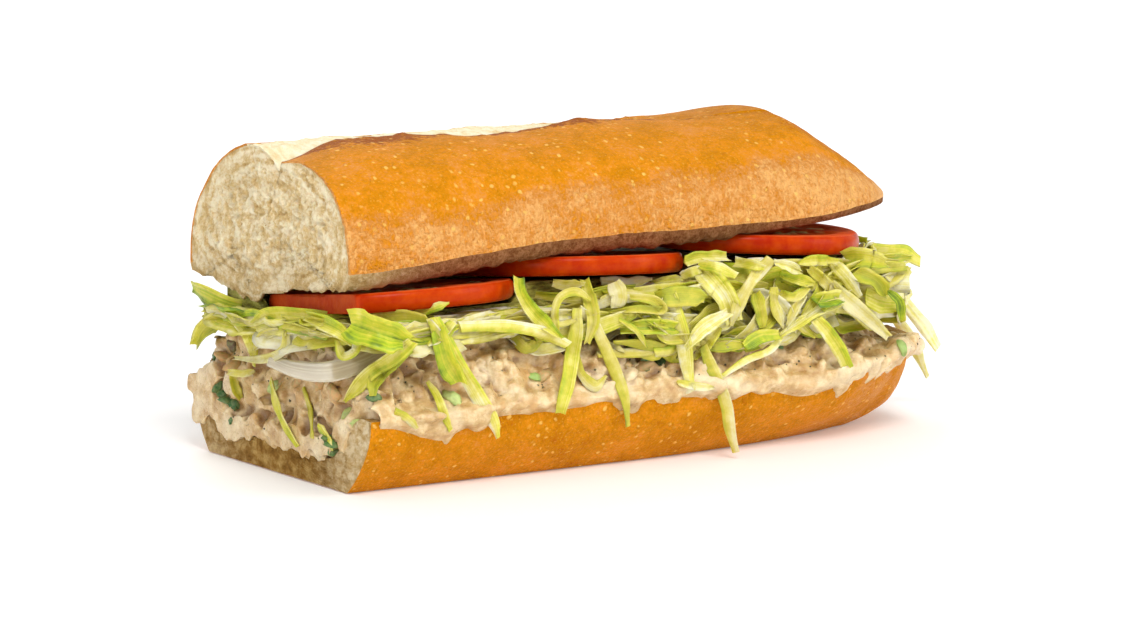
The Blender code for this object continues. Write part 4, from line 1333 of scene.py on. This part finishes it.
def between(points, count):
    """The given number of points along a smooth curve through the given ones."""
    ends = [points[0] * 2 - points[1], *points, points[-1] * 2 - points[-2]]
    spans = len(points) - 1
    result = []
    for i in range(count):
        place_on = min(spans - 1e-6, spans * i / (count - 1))
        k = int(place_on)
        t = place_on - k
        a, b, c, d = ends[k : k + 4]
        bend = (2 * a - 5 * b + 4 * c - d) * t * t + (3 * b - a - 3 * c + d) * t**3
        result.append(0.5 * (2 * b + (c - a) * t + bend))
    return result


def ribbon(soup, path, outward, width, thickness, rng, green=0.5, curl=0.12, twist=0.0, ruffle=0.08):
    """A thin curled strip along a path, with its broad side facing outward."""
    last = len(path) - 1
    columns = 7
    seed = rng.uniform(0, 90)
    number = rng.random()
    lean = rng.choice((-1, 1)) * rng.uniform(0.05, 0.30)
    slants = rng.uniform(-0.5, 0.5), rng.uniform(-0.5, 0.5)
    fold = rng.choice((0.0, 0.0, 0.22, 0.34))
    narrow = rng.uniform(0.1, 0.5), rng.uniform(0.2, 0.8)
    alongs = [(path[min(i + 1, last)] - path[max(i - 1, 0)]).normalized() for i in range(last + 1)]
    sides = [along.cross(outward).normalized() for along in alongs]
    sides[0] = sides[1]
    rows, looks = [], []
    for i, (point, along, side) in enumerate(zip(path, alongs, sides)):
        share = i / last
        normal = side.cross(along).normalized()
        angle = twist * share
        broad = side * math.cos(angle) + normal * math.sin(angle)
        thin = normal * math.cos(angle) - side * math.sin(angle)
        half = 0.5 * width * (0.96 + 0.24 * relief((share * 3, 0, 0), 1.0, seed))
        half *= 1 - narrow[0] * (1 - smoothstep(0.0, 0.25, share)) - narrow[1] * smoothstep(0.70, 1.0, share)
        front, back, tones = [], [], []
        for j in range(columns):
            v = 2 * j / (columns - 1) - 1
            bow = curl * width * v * v + fold * width * abs(v)
            bow += ruffle * width * v * v * math.sin(share * 11 + seed + 2 * v)
            slant = slants[0] * (1 - smoothstep(0, 0.2, share)) + slants[1] * smoothstep(0.8, 1, share)
            p = point + broad * (half * v) + thin * bow + along * (slant * half * v)
            body = thickness * (1 - 0.55 * abs(v))
            front.append(p + thin * (0.5 * body))
            back.append(p - thin * (0.5 * body))
            shade = green if isinstance(green, float) else green[0] + (green[1] - green[0]) * share
            tone = shade + lean * v + 0.16 * relief((share * 4, v, 0), 1.0, seed + 5)
            tones.append((clamp(tone), number, 0.5 + 0.5 * v))
        rows.append(front + back[::-1])
        looks.append(tones + tones[::-1])
    soup.grid(rows, looks, flip=True)
    count = 2 * columns
    for row, look, flip in ((rows[0], looks[0], False), (rows[-1], looks[-1], True)):
        face = tuple(range(count))
        soup.add(list(row), [face[::-1] if flip else face], list(look))


def onion_strip(name, tree, material):
    """A translucent strip of onion on the front of the salad."""
    width, pixels = ONIONS[name]
    towards = camera_frame()[3]
    path = seen_path(tree, pixels, 24, 0.5 * ONION_THICKNESS + 0.0001)
    soup = Soup()
    ribbon(soup, path, towards, width, ONION_THICKNESS, random.Random(name), 0.5, 0.05, 0.0, 0.02)
    return soup.make(f"slice_{name}", [material])


# The lettuce


def lettuce_half_width(x):
    """Half width of the heap, larger towards the rounded end."""
    return LETTUCE_HALF_WIDTH + LETTUCE_SWELL * smoothstep(-0.030, 0.010, x)


def heap_edge(x, inset):
    """Half width of the heap less an inset, rounded off at its end."""
    return (lettuce_half_width(x) - inset) * taper(x, 0.026, LETTUCE_END_X + 0.001, 2.2)


def lettuce_fringe(x):
    """Height above which the showing side is mostly lettuce."""
    return 0.0305 - 0.0080 * smoothstep(-0.028, 0.006, x)


def lettuce_top(x, y):
    """Height of the lettuce bed: up to the tomatoes, and to the roll between them."""
    across = clamp((y - UPPER_CENTRE_Y + UPPER_HALF_WIDTH) / (2 * UPPER_HALF_WIDTH))
    top = upper_base(x, across) - 0.0004
    for centre_x, centre_y, underside, slope, tilt in TOMATOES.values():
        away = math.hypot(x - centre_x, y - centre_y)
        under = underside + slope * (x - centre_x) + tilt * (y - FRONT_Y) - 0.0004
        inside = 1 - smoothstep(TOMATO_RADIUS, TOMATO_RADIUS + 0.004, away)
        top = min(top, top + (under - top) * inside)
    return top


def lettuce_bed(soup):
    """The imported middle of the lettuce, in wavy layers."""
    rows, looks = [], []
    steps = 40
    for i in range(90):
        x = CUT_X + 0.0016 + (LETTUCE_END_X - 0.001 - CUT_X) * math.sin(math.pi / 2 * i / 89) ** 0.9
        x = min(x, LETTUCE_END_X - 0.0008)
        half = max(0.005, heap_edge(x, 0.0045))
        lower, upper, tones = [], [], []
        for j in range(steps + 1):
            y = half * (2 * j / steps - 1)
            bumps = 0.0008 * relief((x, y, 0.0), 0.006, 21.0, 3)
            lower.append(Vector((x, y, salad_top(x, y) - 0.0008)))
            top = max(salad_top(x, y) + 0.003, min(0.0385, lettuce_top(x, y)))
            upper.append(Vector((x, y, top - 0.0006 + min(0.0, bumps))))
            tone = 0.86 + 0.3 * relief((x, y, 0.0), 0.004, 22.0)
            tones.append((tone, 0.3, 0.5 + 0.5 * relief((x, y, 0), 0.003, 23.0)))
        rows.append(lower + upper[::-1])
        looks.append(tones + tones[::-1])
    # The bed takes the second material, the leaf painted dark as shade.
    soup.grid(rows, looks, 1, flip=True)
    for row, look, flip in ((rows[0], looks[0], False), (rows[-1], looks[-1], True)):
        soup.cap(row, look, 1, flip=flip)


def short_shred(soup, tree, rng, edge, outward, level):
    """One seeded shred at the edge of the bed."""
    along = Vector((-outward.y, outward.x, 0))
    wide = rng.random() < 0.15
    width = rng.uniform(0.0052, 0.0074) if wide else rng.uniform(0.0022, 0.0038)
    length = rng.uniform(0.009, 0.024)
    drop = rng.uniform(-0.55, 0.75) * length
    reach = rng.choice((-1, 1)) * math.sqrt(length**2 - drop**2)
    inside = CUT_X - 0.0010 < edge.x + along.x * reach < LETTUCE_END_X + 0.010
    if not inside or abs(edge.y + along.y * reach) > 0.030:
        reach = -reach
    end = edge + along * reach
    top = min(lettuce_top(p.x, p.y * f) for p in (edge, end) for f in (0.5, 1.0)) - 0.30 * width
    hangs = rng.random() < 0.07
    low = lettuce_fringe(edge.x) + 0.4 * width - (0.006 if hangs else 0.0)
    start_z = low + max(0.0, top - low) * rng.random() ** 0.7
    bow = rng.uniform(-0.003, 0.003)
    stand = rng.uniform(0.0, 0.0010) + level * 0.0003
    loose = rng.random() < 0.35
    places = []
    for i in range(5):
        t = i / 4
        z = min(top, max(low, start_z - drop * t + bow * math.sin(math.pi * t)))
        lift = outward * (stand + (0.0022 * t * t if loose else 0.0))
        places.append(edge + lift + along * (reach * t) + Vector((0, 0, z)))
    path = [kept_in(p) for p in draped(tree, between(places, 14), outward, width, 0.0003)]
    root = path[0] - outward * rng.uniform(0.003, 0.007) - along * math.copysign(0.001, reach)
    root.z = min(top, max(path[0].z, salad_top(edge.x, edge.y) + 0.002))
    green = rng.choice((0.08, 0.20, 0.30, 0.40, 0.46, 0.52, 0.62))
    thickness = rng.uniform(0.00035, 0.0006)
    curl = rng.uniform(-0.12, 0.22)
    ruffle = 0.14 if wide else 0.06
    ribbon(soup, [root, *path], outward, width, thickness, rng, green, curl, rng.uniform(-0.8, 0.8), ruffle)


def kept_in(point):
    """The point, moved in where it would stand out further than the shreds do."""
    x = min(OUTERMOST_END_X, max(OUTERMOST_X, point.x))
    return Vector((x, min(-OUTERMOST_Y - 0.0025, max(OUTERMOST_Y, point.y)), point.z))


def heap_depth(spot, direction):
    """Distance at which a sight line reaches the front or the cut end of the heap of shreds."""
    for i in range(HEAP_STEPS):
        depth = CAMERA_DISTANCE - HEAP_NEAR + HEAP_STEP * i
        p = spot + direction * depth
        if CUT_X + 0.0005 < p.x < LETTUCE_END_X and abs(p.y) < heap_edge(p.x, SHRED_INSET):
            return depth
    return None


def seen_path(tree, pixels, count, lift, in_heap=False):
    """Points in front of the surfaces or the heap, along a line of pixels, without a leap into any gap."""
    places = between([Vector((x, y, 0)) for x, y in pixels], count)
    sights = [sight((p.x, p.y)) for p in places]
    hits = [tree.ray_cast(spot, direction)[3] for spot, direction in sights]
    if in_heap:
        fronts = [heap_depth(spot, direction) for spot, direction in sights]
        hits = [min(h, f) if h and f else h for h, f in zip(hits, fronts)]
    known = [i for i, hit in enumerate(hits) if hit is not None]
    if not known:
        return []
    depths = [hits[min(known, key=lambda k: abs(k - i))] for i in range(count)]
    pixel = SENSOR_WIDTH / CAMERA_LENS / PHOTO_WIDTH * CAMERA_DISTANCE
    slack = [0.6 * pixel * (b - a).length for a, b in zip(places, places[1:])]
    for i in range(1, count):
        depths[i] = min(depths[i], depths[i - 1] + slack[i - 1])
    for i in range(count - 2, -1, -1):
        depths[i] = min(depths[i], depths[i + 1] + slack[i])
    path = []
    for (spot, direction), depth in zip(sights, depths):
        point = spot + direction * (depth - lift)
        point += direction * (max(0.0, OUTERMOST_Y - point.y) / direction.y)
        path.append(point + direction * (max(0.0, OUTERMOST_X - point.x) / direction.x))
    return path


def seen_shreds(soup, solids):
    """The shreds of the front and of the cut end that can be told apart in the photograph."""
    towards = camera_frame()[3]
    for number, (name, (width, start, end, pixels)) in enumerate(SEEN_SHREDS.items()):
        rng = random.Random(name)
        if number % 8 == 0:
            tree = lettuce_tree(soup, solids)
        path = seen_path(tree, pixels, 8 + 4 * len(pixels), 0.0006, in_heap=True)
        if path:
            curl, twist = rng.uniform(-0.05, 0.18), rng.uniform(-0.4, 0.4)
            ribbon(soup, path, towards, 0.85 * width, SHRED_THICKNESS, rng, (start, end), curl, twist)
    for name, (width, green, pixels) in SEEN_STREAKS.items():
        path = seen_path(surface_tree(solids), pixels, 16, 0.0001)
        if path:
            ribbon(soup, path, Vector((-1, 0, 0)), width, 0.0005, random.Random(name), green, -0.05)


def long_shreds(soup):
    """The shreds that stand out past both ends."""
    rng = random.Random(SEED + 4)
    for y, width, green, places in END_SHREDS:
        path = between([Vector((x, y, z)) for x, z in places], 22)
        ribbon(soup, path, Vector((0.25, 0, 1)), width, SHRED_THICKNESS, rng, green, 0.12, 0.6)
    for width, green, places in CUT_SHREDS:
        path = between([Vector(spot) for spot in places], 16)
        ribbon(soup, path, Vector((-1, 0, 0.4)), width, SHRED_THICKNESS, rng, green, 0.12, 0.8)


def lettuce_tree(soup, solids):
    """One ray-casting tree over the solids and the lettuce so far."""
    so_far = soup.make("so_far", [])
    tree = surface_tree([*solids, so_far])
    bpy.data.objects.remove(so_far)
    return tree


def lettuce(solids, materials):
    """The bed and its shreds, laid one layer over another."""
    rng = random.Random(SEED + 3)
    soup = Soup()
    lettuce_bed(soup)
    for level in range(4):
        tree = lettuce_tree(soup, solids)
        for side, count in ((-1, 34), (1, 28)):
            for i in range(count):
                x = -0.072 + 0.118 * (i + rng.uniform(-0.5, 0.5)) / (count - 1)
                edge = Vector((x, side * (lettuce_half_width(x) - SHRED_INSET), 0))
                short_shred(soup, tree, rng, edge, Vector((0, side, 0)), level)
        for i in range(14):
            angle = math.radians(-80 + 160 * (i + rng.uniform(-0.3, 0.3)) / 13)
            outward = Vector((math.cos(angle), math.sin(angle), 0))
            across = lettuce_half_width(0.031) - SHRED_INSET
            edge = Vector((0.031 + 0.029 * outward.x, across * outward.y, 0))
            short_shred(soup, tree, rng, edge, outward, level)
        for i in range(5 if level < 3 else 0):
            edge = Vector((CUT_X + 0.0012, -0.022 + 0.036 * (i + rng.uniform(-0.4, 0.4)) / 4, 0))
            short_shred(soup, tree, rng, edge, Vector((-1, 0, 0)), level)
    long_shreds(soup)
    seen_shreds(soup, solids)
    return soup.make("lettuce_shreds", materials)


# Floor, light and camera


def studio():
    """A plain pale floor that glows as painted light, more further out, with soft light."""
    mesh = bpy.data.meshes.new("floor")
    size = 6.0
    corners = [(-size, -size, 0), (size, -size, 0), (size, size, 0), (-size, size, 0)]
    mesh.from_pydata(corners, [], [(0, 1, 2, 3)])
    floor = bpy.data.objects.new("floor", mesh)
    floor.location.z = -0.0002
    bpy.context.scene.collection.objects.link(floor)
    material, tree, shader = new_material(
        "floor", Base_Color=(0.94, 0.93, 0.92, 1), Roughness=0.6, Emission_Color=(1, 1, 1, 1)
    )
    # Painted light: the floor glows, more the further it is from the middle, so the far floor stays white.
    away = add_node(tree, "ShaderNodeVectorMath", {0: place(tree)}, operation="LENGTH").outputs["Value"]
    tree.links.new(ranged(tree, away, 0.10, 1.60, 0.10, 0.55), shader.inputs["Emission Strength"])
    mesh.materials.append(material)
    world = bpy.data.worlds.new("studio")
    world.use_nodes = True
    world.node_tree.nodes["Background"].inputs["Color"].default_value = (1, 1, 1, 1)
    world.node_tree.nodes["Background"].inputs["Strength"].default_value = 0.55
    bpy.context.scene.world = world
    bpy.context.scene.view_settings.view_transform = "Standard"
    for name, (place_at, width, power) in LIGHTS.items():
        area_light(name, place_at, width, power)


def area_light(name, place_at, size, power):
    """A square soft light that faces the sandwich."""
    data = bpy.data.lights.new(name, "AREA")
    data.size = size
    data.energy = power
    light = bpy.data.objects.new(name, data)
    light.location = place_at
    light.rotation_euler = (Vector((0, 0, 0.03)) - Vector(place_at)).to_track_quat("-Z", "Y").to_euler()
    bpy.context.scene.collection.objects.link(light)


def camera():
    """The photograph's view."""
    spot, right, up, back = camera_frame()
    data = bpy.data.cameras.new("camera")
    data.sensor_width = SENSOR_WIDTH
    data.lens = CAMERA_LENS
    obj = bpy.data.objects.new("camera", data)
    obj.matrix_world = Matrix.Translation(spot) @ Matrix((right, up, back)).transposed().to_4x4()
    bpy.context.scene.collection.objects.link(obj)
    bpy.context.scene.camera = obj


def build():
    """Makes every piece and puts it on the frame."""
    crust, crumb = crust_material(), crumb_material()
    lower = dress(lower_roll(crust, crumb), "bread_bottom")
    upper = dress(upper_roll(crust, crumb), "bread_top")
    filling = dress(salad(salad_material()), "tuna_salad")
    solids = [lower, upper, filling]
    bits = salad_bits(surface_tree([filling]), speck_material())
    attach(bits, "root")
    red = tomato_material()
    for name in TOMATOES:
        solids.append(dress(tomato_slice(name, red), name))
    pale = onion_material()
    for name in ONIONS:
        solids.append(dress(onion_strip(name, surface_tree(solids), pale), name))
    dress(lettuce(solids, [lettuce_material(), shade_material()]), "lettuce")


build()
studio()
camera()
